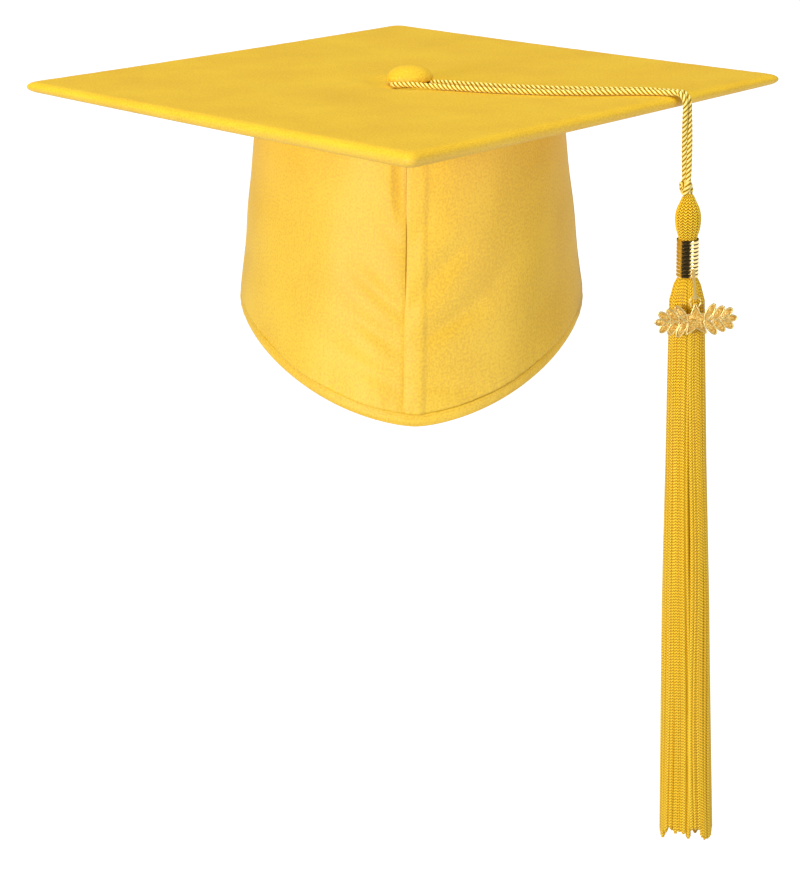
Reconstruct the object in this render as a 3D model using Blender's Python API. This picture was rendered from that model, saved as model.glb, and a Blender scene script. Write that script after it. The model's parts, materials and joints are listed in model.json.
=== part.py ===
"""A graduation cap: covered board, skullcap, covered button, cord, tassel and charm.

Metres, +Z up, the wearer faces -Y. The origin is the centre of the crown lining's underside, where
the cap rests on the head. Each sub-part is one object, and every moving piece hangs from an empty
on its joint's axis.
"""

import math

import bmesh
import bpy
from mathutils import Matrix, Vector

# ---------------------------------------------------------------- driving dimensions (metres)
GAP = 0.0003  # clearance between touching pieces

BOARD_SIDE = 0.2413  # 9.5 inch board, over its cover
BOARD_X = -0.003  # the board is sewn on a little off the cap's axis
BOARD_MID_Z = 0.0046  # middle of the board's thickness
BOARD_HALF = 0.0029  # half the covered board's thickness
COVER = 0.0005  # cover fabric with its interfacing
CORE_TOP = 0.0009  # core's faces, from the board's middle
CORE_BOTTOM = -0.0010
PADDING = (0.0012, 0.0021)  # wadding's faces, from the board's middle
DIMPLE_FLOOR = 0.0018  # top of the cover where the button pulls it in
DIMPLE_RADII = (0.012, 0.024)
CORNER_RADIUS = 0.004
CORE_INSET = 0.0014  # insets are from the board's outline
BOTTOM_INSET = 0.0019
PADDING_INSETS = (0.0020, 0.0026)  # at its lower and its upper face
PADDING_CLEAR = 0.004  # from the dimple's floor to the wadding's hole
# The top cover's edge as (inset, height from the board's middle): its outer face from below, up and
# over, then its inner face back again.
EDGE_OUTSIDE = [(0.0012, -BOARD_HALF), (0, -0.0015), (0, 0.0012), (0.0005, 0.0023), (0.0016, BOARD_HALF)]
EDGE_INSIDE = [
    (0.0020, BOARD_HALF - COVER),
    (0.0007, 0.0011),
    (0.0007, -0.0014),
    (0.0015, -BOARD_HALF + COVER),
]

BUTTON_RADIUS = 0.0099
BUTTON_RIM = 0.0037  # underside of the button, from the board's middle
BUTTON_DOME = 0.0056
SHELL = 0.0004
RIM_HEIGHT = 0.0006  # upright part of the button's rim
TUCK_RADIUS = 0.0070  # the cover is turned in as far as this
PLATE_RADIUS, PLATE = 0.0083, 0.0004
PIN_RADIUS = 0.0010
PIN_HOLE = 0.0014
PIN_HEAD_RADIUS, PIN_HEAD = 0.0025, 0.0006
PIN_FOOT_RADIUS, PIN_FOOT = 0.0023, 0.00035
PIN_FOOT_Z = -0.0018  # from the board's middle
WASHER_RADIUS, WASHER = 0.0040, 0.00035
WASHER_Z = -0.0016

CROWN_HALF_WIDTH = 0.0678  # skullcap's outer half-width and half-length at its top
CROWN_HALF_LENGTH = 0.0840
FLARE_WIDTH = 0.107  # outward run of the sides per metre down
FLARE_LENGTH = 0.130
PANEL_TOP = 0.0014
PANEL = 0.0007  # side panel's thickness
LINING_IN = 0.0020  # from the panel's outer face to the lining's
LINING = 0.0004
HEM = 0.0056  # height of the hem band
SIDE_EDGE_Z = -0.0914  # lower edge over the ears
FRONT_EDGE_Z = -0.1262  # tip of the front point
BACK_EDGE_Z = -0.0989
FRONT_SPREAD = math.radians(85)  # the front point dies out this far round
CASING_START = math.radians(110)  # elastic casing runs round the back from here
ALLOWANCE_WIDTH = math.radians(5.3)
EDGE_EASE = 0.06  # rounds the front point off, in radians
SLIT = 0.0002  # between the two side panels at each seam
HEM_ROUND = 0.0004
LINING_TOP = 0.0005
ALLOWANCE = (0.0010, 0.0016)  # seam allowance's faces, from the panel's outer face
ALLOWANCE_LAP = 0.004  # it laps over the seam by this angle
ALLOWANCE_TOP = -0.002
ELASTIC = (0.0011, 0.0017)  # elastic's faces, from the panel's outer face
ELASTIC_RISE = (0.0011, HEM - 0.0004)  # its edges, above the lower edge
ELASTIC_END = 0.02  # it stops this angle short of the casing's ends
LABEL_TURN = 0.11  # half the label's width, as an angle
LABEL_TOP, LABEL_FOOT = -0.060, -0.074
LABEL = 0.0003
CROWN_PANEL = (0.0008, 0.0014)  # heights of the crown panel's faces

CORD = 0.0023  # cord diameter
HANG = Vector((0.1210, -0.0516, 0.0))  # plumb line of the tassel
STRAND_OFFSET = 0.0013  # each cord's distance from the pair's middle
BEND_RADIUS = 0.0046
CORD_TOP = BOARD_HALF + GAP + CORD / 2  # cord's centre above the board's middle
CORD_LEVEL = BOARD_MID_Z + CORD_TOP
DROP_TURNS = 1  # times the hanging cords go round each other
LOOP_Z = BOARD_MID_Z + 0.00275  # under the button, where the cord is pressed flat
LOOP_SECTION = (0.0015, 0.0006)  # its half-width and half-height there
DIP_Z = BOARD_MID_Z + 0.0033  # where each run comes out from under the button

# The cord's routes by hand, in millimetres: the loop round the button's pin, then each run's way
# out of the button's dimple (with its height) and across the board.
LOOP_ROUTE = [(-7.6, -8.6), (-8.0, -4.0), (-5.6, 1.0), (-1.6, 3.6), (3.0, 3.0), (6.6, 0.0), (9.2, -4.2)]
FRONT_START = [(-6.4, -11.6, DIP_Z), (0, -15.5, CORD_LEVEL - 0.0006)]
FRONT_ROUTE = [(12, -21.5), (31, -31.0), (50, -38.0), (66, -42.5), (82, -45.0), (98, -46.5), (108, -47.6)]
BACK_START = [(10.9, -6.6, DIP_Z), (17.5, -12.0, CORD_LEVEL - 0.0005)]
BACK_ROUTE = [(27, -17.5), (43, -25.0), (60, -31.0), (76, -35.5), (92, -39.5), (104, -42.6), (111, -45.0)]

KNOT_TOP, HEAD_TOP, BAND_TOP, BAND_BOTTOM = -0.0289, -0.0356, -0.0546, -0.0719
SKIRT_END = -0.3368
KNOT_RADIUS = 0.00285
HEAD_RADIUS = 0.00585
HEAD_WALL = 0.0016
HEAD_CORE = (0.0034, 0.0055)  # the core's half-width and half-height
BAND_RADIUS = 0.00505
BAND_WALL = 0.0006
RIBS, RIB_DEPTH = 9, 0.0003
HOOK_HALF_WIDTH, HOOK_HALF_THICK = 0.00065, 0.00035
# The skirt's half-width by height: it swells below the band and spreads slowly to its end.
SKIRT_WIDTHS = [
    (-0.0560, 0.0041),
    (-0.0719, 0.0042),
    (-0.0760, 0.0062),
    (-0.0830, 0.0080),
    (-0.1570, 0.0093),
]
SKIRT_WIDTHS += [(-0.2230, 0.0109), (SKIRT_END, 0.0124)]
SKIRT_LEVELS = [-0.0570, -0.0725, -0.0762, -0.0830, -0.1200, -0.1800, -0.2500, SKIRT_END]
FLATTEN_FROM, FLATTEN_OVER, FLATTEN = -0.0762, 0.08, 0.24  # the skirt's depth shrinks by a share
PACKING = 4.03  # skirt's half-width over a bundle's, for three bundles inside nine
BUNDLE_PLACES = [(1.155, 120 * k) for k in range(3)] + [(3.03, 20 + 40 * k) for k in range(9)]
BUNDLE_SHARE = 0.90  # of its space that a bundle fills
CHARM_X = 0.0024  # charm's pivot, from the tassel's axis
CHARM_Y = -0.0112
CHARM_PIVOT_Z = -0.0785
CHARM_HALF_WIDTH = 0.0180
CHARM_DROP = 0.0082  # from the ring's centre down to the star's
CHARM_THICK = 0.0012
STAR_REACH = 0.0076
RING_RADIUS = 0.00245
RING_WIRE = 0.00035
LEAF_LENGTH, LEAF_STEP, LEAF_WIDTH = 0.0082, 0.0009, 0.0031  # each leaf is a step shorter
LEAF_ROOT, LEAF_SPACING = 0.0040, 0.0037  # first leaf's root from the star, and on to the next
LEAF_LEAN, LEAN_STEP = 56, 6  # degrees
TIP_LEAF = (0.0062, 0.0030)
STEM_ROOT, STEM_TIP = 0.0006, 0.0005  # half-widths
STEM_SHORT = 0.004  # the stem ends this far inside the charm's tip

EDGE_OUT = Vector((1, -1, 0)).normalized()  # outward from the front-right edge
EDGE_ALONG = Vector((1, 1, 0)).normalized()

GOLD_FABRIC = (0.90, 0.62, 0.06)
GOLD_CORD = (0.80, 0.50, 0.05)
GILT = (0.85, 0.64, 0.24)
LINING_GOLD = (0.86, 0.62, 0.12)
STEEL = (0.64, 0.65, 0.67)


# ---------------------------------------------------------------- helpers
def material(name, colour, roughness, metallic=0.0):
    mat = bpy.data.materials.new(name)
    mat.use_nodes = True
    shader = mat.node_tree.nodes["Principled BSDF"]
    shader.inputs["Base Color"].default_value = (*colour, 1)
    shader.inputs["Roughness"].default_value = roughness
    shader.inputs["Metallic"].default_value = metallic
    return mat


def finish(name, bm, colour, roughness=0.8, metallic=0.0, parent=None, sharp=35):
    """Turns a bmesh in world coordinates into a named object, under its joint's empty."""
    bmesh.ops.recalc_face_normals(bm, faces=bm.faces)
    mesh = bpy.data.meshes.new(name)
    if parent:
        bm.transform(Matrix.Translation(-parent.location))
    bm.to_mesh(mesh)
    bm.free()
    mesh.shade_smooth()
    mesh.set_sharp_from_angle(angle=math.radians(sharp))
    mesh.materials.append(material(name, colour, roughness, metallic))
    obj = bpy.data.objects.new(name, mesh)
    bpy.context.collection.objects.link(obj)
    obj.parent = parent
    return obj


def pivot(name, place):
    empty = bpy.data.objects.new(name, None)
    empty.location = place
    bpy.context.collection.objects.link(empty)
    return empty


def loft(rings, closed=False):
    """Skins a list of rings of points; a ring of one point is a pole. Open ends are capped."""
    bm = bmesh.new()
    made = [[bm.verts.new(p) for p in ring] for ring in rings]
    pairs = list(zip(made, made[1:]))
    if closed:
        pairs.append((made[-1], made[0]))
    for a, b in pairs:
        count = max(len(a), len(b))
        for i in range(count):
            j = (i + 1) % count
            corners = [a[i % len(a)], a[j % len(a)], b[j % len(b)], b[i % len(b)]]
            bm.faces.new(list(dict.fromkeys(corners)))
    if not closed:
        for ring in (made[0], made[-1]):
            if len(ring) > 2:
                bm.faces.new(ring)
    return bm


def circle(radius, z, segments, centre=(0, 0), squash=1.0):
    if radius == 0:
        return [(centre[0], centre[1], z)]
    turns = [2 * math.pi * i / segments for i in range(segments)]
    return [
        (centre[0] + radius * math.cos(t), centre[1] + squash * radius * math.sin(t), z)
        for t in turns
    ]


def turned(profile, segments=20, centre=(0, 0), closed=False):
    return loft([circle(r, z, segments, centre) for r, z in profile], closed)


def arc(radius_r, radius_z, base_z, start, end, steps):
    """Quarter-ellipse points (r, z) from one angle to another, in degrees above the rim."""
    angles = [math.radians(start + (end - start) * i / steps) for i in range(steps + 1)]
    return [(max(0, radius_r * math.cos(a)), base_z + radius_z * math.sin(a)) for a in angles]


def sweep(points, half_width, half_height):
    """A flattened cord along points: an ellipse of section, kept level."""
    rings = []
    for i, point in enumerate(points):
        ahead = points[min(i + 1, len(points) - 1)] - points[max(i - 1, 0)]
        side = ahead.cross(Vector((0, 0, 1))).normalized()
        up = side.cross(ahead).normalized()
        ring = []
        for k in range(8):
            turn = 2 * math.pi * k / 8
            ring.append(point + side * half_width * math.cos(turn) + up * half_height * math.sin(turn))
        rings.append(ring)
    return loft(rings)


def smooth_route(points, step):
    """Points about one step apart on the Catmull-Rom curve through the route's own points."""
    ends = [2 * points[0] - points[1]] + points + [2 * points[-1] - points[-2]]
    curve = []
    for a, b, c, d in zip(ends, ends[1:], ends[2:], ends[3:]):
        count = max(1, round((c - b).length / step))
        for i in range(count):
            t = i / count
            curve.append(
                0.5
                * (
                    2 * b
                    + (c - a) * t
                    + (2 * a - 5 * b + 4 * c - d) * t**2
                    + (3 * b - a - 3 * c + d) * t**3
                )
            )
    return curve + [points[-1]]


def tube(name, points, radii, colour, parent):
    """A cord as a curve with a round bevel and filled caps."""
    data = bpy.data.curves.new(name, "CURVE")
    data.dimensions = "3D"
    data.bevel_depth = CORD / 2
    data.bevel_resolution = 2
    data.use_fill_caps = True
    spline = data.splines.new("POLY")
    spline.points.add(len(points) - 1)
    for target, place, radius in zip(spline.points, points, radii):
        target.co = (*(place - parent.location), 1)
        target.radius = radius
    data.materials.append(material(name, colour, 0.45))
    obj = bpy.data.objects.new(name, data)
    bpy.context.collection.objects.link(obj)
    obj.parent = parent
    return obj


# ---------------------------------------------------------------- board
def board_ring(inset, z, corner=CORNER_RADIUS):
    """A rounded square with its corners on the axes, inset from the board's outline."""
    half = BOARD_SIDE / 2 - inset
    ring = []
    for k in range(4):
        facing = math.pi / 2 * k
        centre = Vector((math.cos(facing), math.sin(facing))) * (half - corner) * math.sqrt(2)
        for step in range(5):
            turn = facing + math.radians(-45 + 22.5 * step)
            ring.append(centre + Vector((math.cos(turn), math.sin(turn))) * corner)
        following = facing + math.pi / 2
        far = Vector((math.cos(following), math.sin(following))) * (half - corner) * math.sqrt(2)
        turn = facing + math.pi / 4
        start = ring[-1]
        end = far + Vector((math.cos(turn), math.sin(turn))) * corner
        ring += [start.lerp(end, part / 6) for part in range(1, 6)]
    return [(p.x + BOARD_X, p.y, BOARD_MID_Z + z) for p in ring]


def matching_circle(radius, z):
    """A circle round the button's axis with one point towards each point of the board's outline."""
    ring = []
    for x, y, _ in board_ring(0, 0):
        out = Vector((x - BOARD_X, y)).normalized() * radius
        ring.append((out.x, out.y, BOARD_MID_Z + z))
    return ring


def build_board():
    top, floor = BOARD_HALF, DIMPLE_FLOOR
    near, far = DIMPLE_RADII
    finish(
        "board_core",
        loft(
            [
                board_ring(CORE_INSET, CORE_BOTTOM),
                board_ring(CORE_INSET, CORE_TOP),
                matching_circle(PIN_HOLE, CORE_TOP),
                matching_circle(PIN_HOLE, CORE_BOTTOM),
            ],
            closed=True,
        ),
        (0.45, 0.38, 0.28),
    )
    low, high = PADDING
    finish(
        "board_padding",
        loft(
            [
                board_ring(PADDING_INSETS[0], low),
                board_ring(PADDING_INSETS[1], high),
                matching_circle(far, high),
                matching_circle(near + PADDING_CLEAR, low + 0.0002),
                matching_circle(near + PADDING_CLEAR, low),
            ],
            closed=True,
        ),
        (0.93, 0.92, 0.88),
    )
    finish(
        "board_top_cover",
        loft(
            [
                *(board_ring(inset, z) for inset, z in EDGE_OUTSIDE),
                matching_circle(far, top),
                matching_circle(near, floor),
                matching_circle(PIN_HOLE, floor),
                matching_circle(PIN_HOLE, floor - COVER),
                matching_circle(near, floor - COVER),
                matching_circle(far, top - COVER),
                *(board_ring(inset, z) for inset, z in EDGE_INSIDE),
            ],
            closed=True,
        ),
        GOLD_FABRIC,
    )
    finish(
        "board_bottom_cover",
        loft([board_ring(BOTTOM_INSET, -top), board_ring(BOTTOM_INSET, -top + COVER)]),
        GOLD_FABRIC,
    )


# ---------------------------------------------------------------- button
def build_button():
    mid, rim = BOARD_MID_Z, BOARD_MID_Z + BUTTON_RIM
    shoulder = rim + RIM_HEIGHT
    radius, dome = BUTTON_RADIUS, BUTTON_DOME
    inner = arc(radius - COVER, dome - COVER, shoulder, 0, 90, 6)
    outer = arc(radius, dome, shoulder, 90, 0, 6)
    tuck = [
        (radius - 0.0006, rim),
        (TUCK_RADIUS, rim),
        (TUCK_RADIUS, rim + COVER),
        (radius - 0.0010, rim + COVER),
    ]
    finish("button_cover", turned(outer + tuck + inner), GOLD_FABRIC)

    plate = shoulder + 0.0004
    shell_radius, shell_dome = radius - COVER - GAP, dome - COVER - GAP - 0.0005
    outer = arc(shell_radius, shell_dome, plate, 90, 0, 6)
    inner = arc(shell_radius - SHELL, shell_dome - SHELL, plate, 0, 90, 6)
    finish("button_shell", turned(outer + inner), STEEL, 0.35, 1.0)

    profile = [
        (PLATE_RADIUS, plate),
        (PLATE_RADIUS, plate + PLATE),
        (PIN_HOLE, plate + PLATE),
        (PIN_HOLE, plate),
    ]
    finish("button_back_plate", turned(profile, closed=True), STEEL, 0.4, 1.0)

    head = plate + 0.0007
    foot = mid + PIN_FOOT_Z
    profile = [
        (0, head + PIN_HEAD),
        (PIN_HEAD_RADIUS, head + PIN_HEAD),
        (PIN_HEAD_RADIUS, head),
        (PIN_RADIUS, head),
        (PIN_RADIUS, foot),
        (PIN_FOOT_RADIUS, foot),
        (PIN_FOOT_RADIUS, foot - PIN_FOOT),
        (0, foot - PIN_FOOT),
    ]
    finish("button_pin", turned(profile, 16), (0.70, 0.66, 0.52), 0.35, 1.0)

    low, high = mid + WASHER_Z, mid + WASHER_Z + WASHER
    profile = [(WASHER_RADIUS, low), (WASHER_RADIUS, high), (PIN_HOLE, high), (PIN_HOLE, low)]
    finish("pin_washer", turned(profile, closed=True), STEEL, 0.4, 1.0)


# ---------------------------------------------------------------- skullcap
def edge_z(turn):
    """Height of the lower edge, by the angle round from the front."""
    turn = math.remainder(turn, 2 * math.pi)
    away = math.hypot(turn, EDGE_EASE) - EDGE_EASE
    part = min(away / FRONT_SPREAD, 1)
    point = 0.5 * math.cos(part * math.pi / 2) ** 2 + 0.5 * (1 - part)
    rear = max(0.0, -math.cos(turn))
    return SIDE_EDGE_Z + (FRONT_EDGE_Z - SIDE_EDGE_Z) * point + (BACK_EDGE_Z - SIDE_EDGE_Z) * rear**2


def cap_point(turn, z, inward):
    half_width = CROWN_HALF_WIDTH + FLARE_WIDTH * (PANEL_TOP - z) - inward
    half_length = CROWN_HALF_LENGTH + FLARE_LENGTH * (PANEL_TOP - z) - inward
    return (half_width * math.sin(turn), -half_length * math.cos(turn), z)


def wall(start, end, inner, outer, top, bottom, steps, rows=2):
    """A strip of the skullcap's wall between two angles. Top and bottom are heights by angle."""
    rings = []
    for i in range(steps + 1):
        turn = start + (end - start) * i / steps
        heights = [top(turn) + (bottom(turn) - top(turn)) * k / rows for k in range(rows + 1)]
        ring = [cap_point(turn, z, outer) for z in heights]
        ring += [cap_point(turn, z, inner) for z in reversed(heights)]
        rings.append(ring)
    return loft(rings)


def channel(start, end, steps):
    """The hem: a strip folded up inside, so a U in section, open towards the panels."""
    inside = LINING_IN + LINING
    section = [
        (0, HEM),
        (0, HEM_ROUND),
        (HEM_ROUND, 0),
        (inside - HEM_ROUND, 0),
        (inside, HEM_ROUND),
        (inside, HEM),
        (LINING_IN, HEM),
        (LINING_IN, PANEL),
        (PANEL, PANEL),
        (PANEL, HEM),
    ]
    rings = []
    for i in range(steps + 1):
        turn = start + (end - start) * i / steps
        rings.append([cap_point(turn, edge_z(turn) + rise, inward) for inward, rise in section])
    return loft(rings)


def oval(inward, z, segments=48):
    turns = [2 * math.pi * i / segments for i in range(segments)]
    return [cap_point(t, PANEL_TOP, inward)[:2] + (z,) for t in turns]


def build_skullcap():
    slit = SLIT / CROWN_HALF_LENGTH
    sides = {"right": (slit, math.pi - slit), "left": (-slit, slit - math.pi)}

    def panel_foot(turn):
        return edge_z(turn) + HEM + GAP

    for side, (start, end) in sides.items():
        panel = wall(start, end, PANEL, 0, lambda _: PANEL_TOP, panel_foot, 22, 3)
        finish("side_panel_" + side, panel, GOLD_FABRIC)
        lining = wall(start, end, LINING_IN + LINING, LINING_IN, lambda _: LINING_TOP, panel_foot, 22)
        finish("side_lining_" + side, lining, LINING_GOLD)

    for name, middle in (("front_seam_allowance", 0.0), ("back_seam_allowance", math.pi)):
        start, end = middle - ALLOWANCE_LAP, middle + ALLOWANCE_WIDTH
        strip = wall(start, end, ALLOWANCE[1], ALLOWANCE[0], lambda _: ALLOWANCE_TOP, panel_foot, 2)
        finish(name, strip, GOLD_FABRIC)

    stop = CASING_START - 0.0001 / 0.08
    finish("hem_band", channel(-stop, stop, 36), GOLD_FABRIC)
    start, end = CASING_START + 0.002, 2 * math.pi - CASING_START - 0.002
    finish("elastic_casing", channel(start, end, 22), GOLD_FABRIC)
    elastic = wall(
        start + ELASTIC_END,
        end - ELASTIC_END,
        ELASTIC[1],
        ELASTIC[0],
        lambda turn: edge_z(turn) + ELASTIC_RISE[1],
        lambda turn: edge_z(turn) + ELASTIC_RISE[0],
        22,
        1,
    )
    finish("elastic_band", elastic, (0.92, 0.91, 0.88))

    label_in = LINING_IN + LINING + GAP
    start, end = math.pi - LABEL_TURN, math.pi + LABEL_TURN
    label = wall(start, end, label_in + LABEL, label_in, lambda _: LABEL_TOP, lambda _: LABEL_FOOT, 6, 1)
    finish("size_label", label, (0.95, 0.95, 0.93))

    crown_in = PANEL + GAP
    finish("crown_panel", loft([oval(crown_in, z) for z in CROWN_PANEL]), GOLD_FABRIC)
    lining_in = LINING_IN + LINING + GAP
    finish("crown_lining", loft([oval(lining_in, 0), oval(lining_in, LINING_TOP)]), LINING_GOLD)


# ---------------------------------------------------------------- cord
def over_edge(along):
    """The last quarter turn of a cord, from level to plumb, over the board's edge."""
    foot = HANG + EDGE_ALONG * along
    centre = foot - EDGE_OUT * BEND_RADIUS
    points = []
    for step in range(5):
        turn = math.radians(22.5 * step)
        rise = CORD_LEVEL - BEND_RADIUS + BEND_RADIUS * math.cos(turn)
        points.append(centre + EDGE_OUT * BEND_RADIUS * math.sin(turn) + Vector((0, 0, rise)))
    return points


def build_cord():
    run_pivot = pivot("cord_run_pivot", (0, 0, BOARD_MID_Z))
    points = smooth_route([Vector((x / 1000, y / 1000, LOOP_Z)) for x, y in LOOP_ROUTE], 0.0035)
    finish("cord_loop", sweep(points, *LOOP_SECTION), GOLD_CORD, 0.45, 0, run_pivot)

    runs = {
        "cord_run_front": (FRONT_START, FRONT_ROUTE, -STRAND_OFFSET),
        "cord_run_back": (BACK_START, BACK_ROUTE, STRAND_OFFSET),
    }
    for name, (start, route, along) in runs.items():
        points = [Vector((x / 1000, y / 1000, z)) for x, y, z in start]
        points += [Vector((x / 1000, y / 1000, CORD_LEVEL)) for x, y in route]
        points = smooth_route(points + over_edge(along), 0.005)
        tube(name, points, [1] * len(points), GOLD_CORD, run_pivot)


def build_drop():
    """Two cords twisted once round each other, from the board's edge to the knot."""
    top = CORD_LEVEL - BEND_RADIUS - GAP
    joint = HANG + Vector((0, 0, top - CORD / 2))
    drop_pivot = pivot("cord_drop_pivot", joint)
    foot = KNOT_TOP + GAP
    for name, side in (("cord_drop_front", -1), ("cord_drop_back", 1)):
        points, radii = [], []
        for rise, radius in ((1.0, 0.25), (0.85, 0.6), (0.5, 0.9)):
            points.append(joint + EDGE_ALONG * STRAND_OFFSET * side + Vector((0, 0, rise * CORD / 2)))
            radii.append(radius)
        steps = 14
        for i in range(steps + 1):
            part = i / steps
            turn = math.pi / 4 + 2 * math.pi * DROP_TURNS * part
            around = Vector((math.cos(turn), math.sin(turn), 0)) * STRAND_OFFSET * side
            points.append(HANG + around + Vector((0, 0, joint.z + (foot - joint.z) * part)))
            radii.append(1.0)
        tube(name, points, radii, GOLD_CORD, drop_pivot)


# ---------------------------------------------------------------- tassel
def build_tassel():
    centre = HANG[:2]
    knot_mid = (KNOT_TOP + HEAD_TOP) / 2
    knot_pivot = pivot("knot_pivot", HANG + Vector((0, 0, knot_mid)))
    tall = (KNOT_TOP - HEAD_TOP) / 2 - GAP / 2
    finish(
        "cord_knot",
        turned(arc(KNOT_RADIUS, tall, knot_mid, 90, -90, 10), 16, centre),
        GOLD_CORD,
        0.45,
        0,
        knot_pivot,
    )

    spin = pivot("tassel_pivot", HANG + Vector((0, 0, HEAD_TOP)))
    middle = (HEAD_TOP + BAND_TOP) / 2
    tall = (HEAD_TOP - BAND_TOP) / 2
    outer = arc(HEAD_RADIUS, tall, middle, 76, -60, 9)
    inner = arc(HEAD_RADIUS - HEAD_WALL, tall - HEAD_WALL, middle, -64, 72, 7)
    finish("tassel_head", turned(outer + inner, 20, centre, closed=True), GOLD_CORD, 0.5, 0, spin)
    finish("head_core", turned(arc(*HEAD_CORE, middle, 90, -90, 8), 12, centre), GOLD_CORD, 0.5, 0, spin)

    pitch = (BAND_TOP - GAP - BAND_BOTTOM) / RIBS
    profile = []
    for i in range(RIBS):
        top = BAND_TOP - GAP - i * pitch
        profile += [(BAND_RADIUS - RIB_DEPTH, top), (BAND_RADIUS, top - pitch / 2)]
    profile.append((BAND_RADIUS - RIB_DEPTH, BAND_BOTTOM))
    bore = BAND_RADIUS - RIB_DEPTH - BAND_WALL
    profile += [(bore, BAND_BOTTOM), (bore, BAND_TOP - GAP)]
    finish("tassel_band", turned(profile, 20, centre, closed=True), GILT, 0.2, 1.0, spin)

    build_hook(spin)
    build_skirt(spin, bore - GAP)


def build_hook(parent):
    """A flat wire from the band's foot that turns up through the charm's ring."""
    x = HANG.x + CHARM_X
    face = HANG.y - math.sqrt(BAND_RADIUS**2 - CHARM_X**2)
    charm_y = HANG.y + CHARM_Y
    route = [
        (face - 0.0008, BAND_BOTTOM + 0.0040),
        (face - 0.0008, BAND_BOTTOM + 0.0005),
        (charm_y + 0.0022, BAND_BOTTOM - 0.0022),
        (charm_y + 0.0013, CHARM_PIVOT_Z + 0.0006),
        (charm_y + 0.0009, CHARM_PIVOT_Z - 0.0008),
        (charm_y, CHARM_PIVOT_Z - 0.0013),
        (charm_y - 0.0009, CHARM_PIVOT_Z - 0.0008),
        (charm_y - 0.0012, CHARM_PIVOT_Z + 0.0004),
        (charm_y - 0.0011, CHARM_PIVOT_Z + 0.0018),
    ]
    rings = []
    points = [Vector((x, y, z)) for y, z in route]
    for i, point in enumerate(points):
        ahead = (points[min(i + 1, len(points) - 1)] - points[max(i - 1, 0)]).normalized()
        thick = ahead.cross(Vector((1, 0, 0))) * HOOK_HALF_THICK
        wide = Vector((HOOK_HALF_WIDTH, 0, 0))
        rings.append(
            [point + wide + thick, point + wide - thick, point - wide - thick, point - wide + thick]
        )
    finish("band_hook", loft(rings), GILT, 0.2, 1.0, parent)


def skirt_half_width(z):
    for (z0, w0), (z1, w1) in zip(SKIRT_WIDTHS, SKIRT_WIDTHS[1:]):
        if z >= z1:
            return w0 + (w1 - w0) * max(0.0, (z0 - z)) / (z0 - z1)
    return SKIRT_WIDTHS[-1][1]


def build_skirt(parent, neck):
    """Bundles of strands, packed three inside nine, tapered to pass through the band."""
    for number, (out, angle) in enumerate(BUNDLE_PLACES, 1):
        rings = []
        for z in SKIRT_LEVELS:
            half = min(skirt_half_width(z), neck) if z > BAND_BOTTOM - 0.001 else skirt_half_width(z)
            unit = half / PACKING
            depth = 1 - FLATTEN * min(1, max(0, (FLATTEN_FROM - z) / FLATTEN_OVER))
            spot = Vector((math.cos(math.radians(angle)), math.sin(math.radians(angle)))) * out * unit
            centre = (HANG.x + spot.x, HANG.y + spot.y * depth)
            rings.append(circle(unit * BUNDLE_SHARE, z, 8, centre, depth))
        finish(f"strand_bundle_{number:02d}", loft(rings), GOLD_CORD, 0.55, 0, parent)


# ---------------------------------------------------------------- charm
def prism(outline, y, thick):
    return loft([[(x, y - thick / 2, z) for x, z in outline], [(x, y + thick / 2, z) for x, z in outline]])


def lens(x, z, length, width, angle):
    """A leaf: two arcs that meet in points, turned by an angle."""
    outline = []
    for k in range(8):
        along = math.cos(2 * math.pi * k / 8)
        across = math.sin(2 * math.pi * k / 8)
        outline.append((along * length / 2, across * width / 2))
    c, s = math.cos(angle), math.sin(angle)
    return [(x + u * c - v * s, z + u * s + v * c) for u, v in outline]


def star(x, z, outer, inner):
    outline = []
    for k in range(10):
        reach = outer if k % 2 == 0 else inner
        turn = math.pi / 2 + math.pi * k / 5
        outline.append((x + reach * math.cos(turn), z + reach * math.sin(turn)))
    return outline


def torus(x, y, z, major, minor):
    rings = []
    for i in range(20):
        turn = 2 * math.pi * i / 20
        ring = []
        for k in range(6):
            tilt = 2 * math.pi * k / 6
            reach = major + minor * math.cos(tilt)
            ring.append((x + reach * math.cos(turn), y + minor * math.sin(tilt), z + reach * math.sin(turn)))
        rings.append(ring)
    return loft(rings, closed=True)


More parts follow.
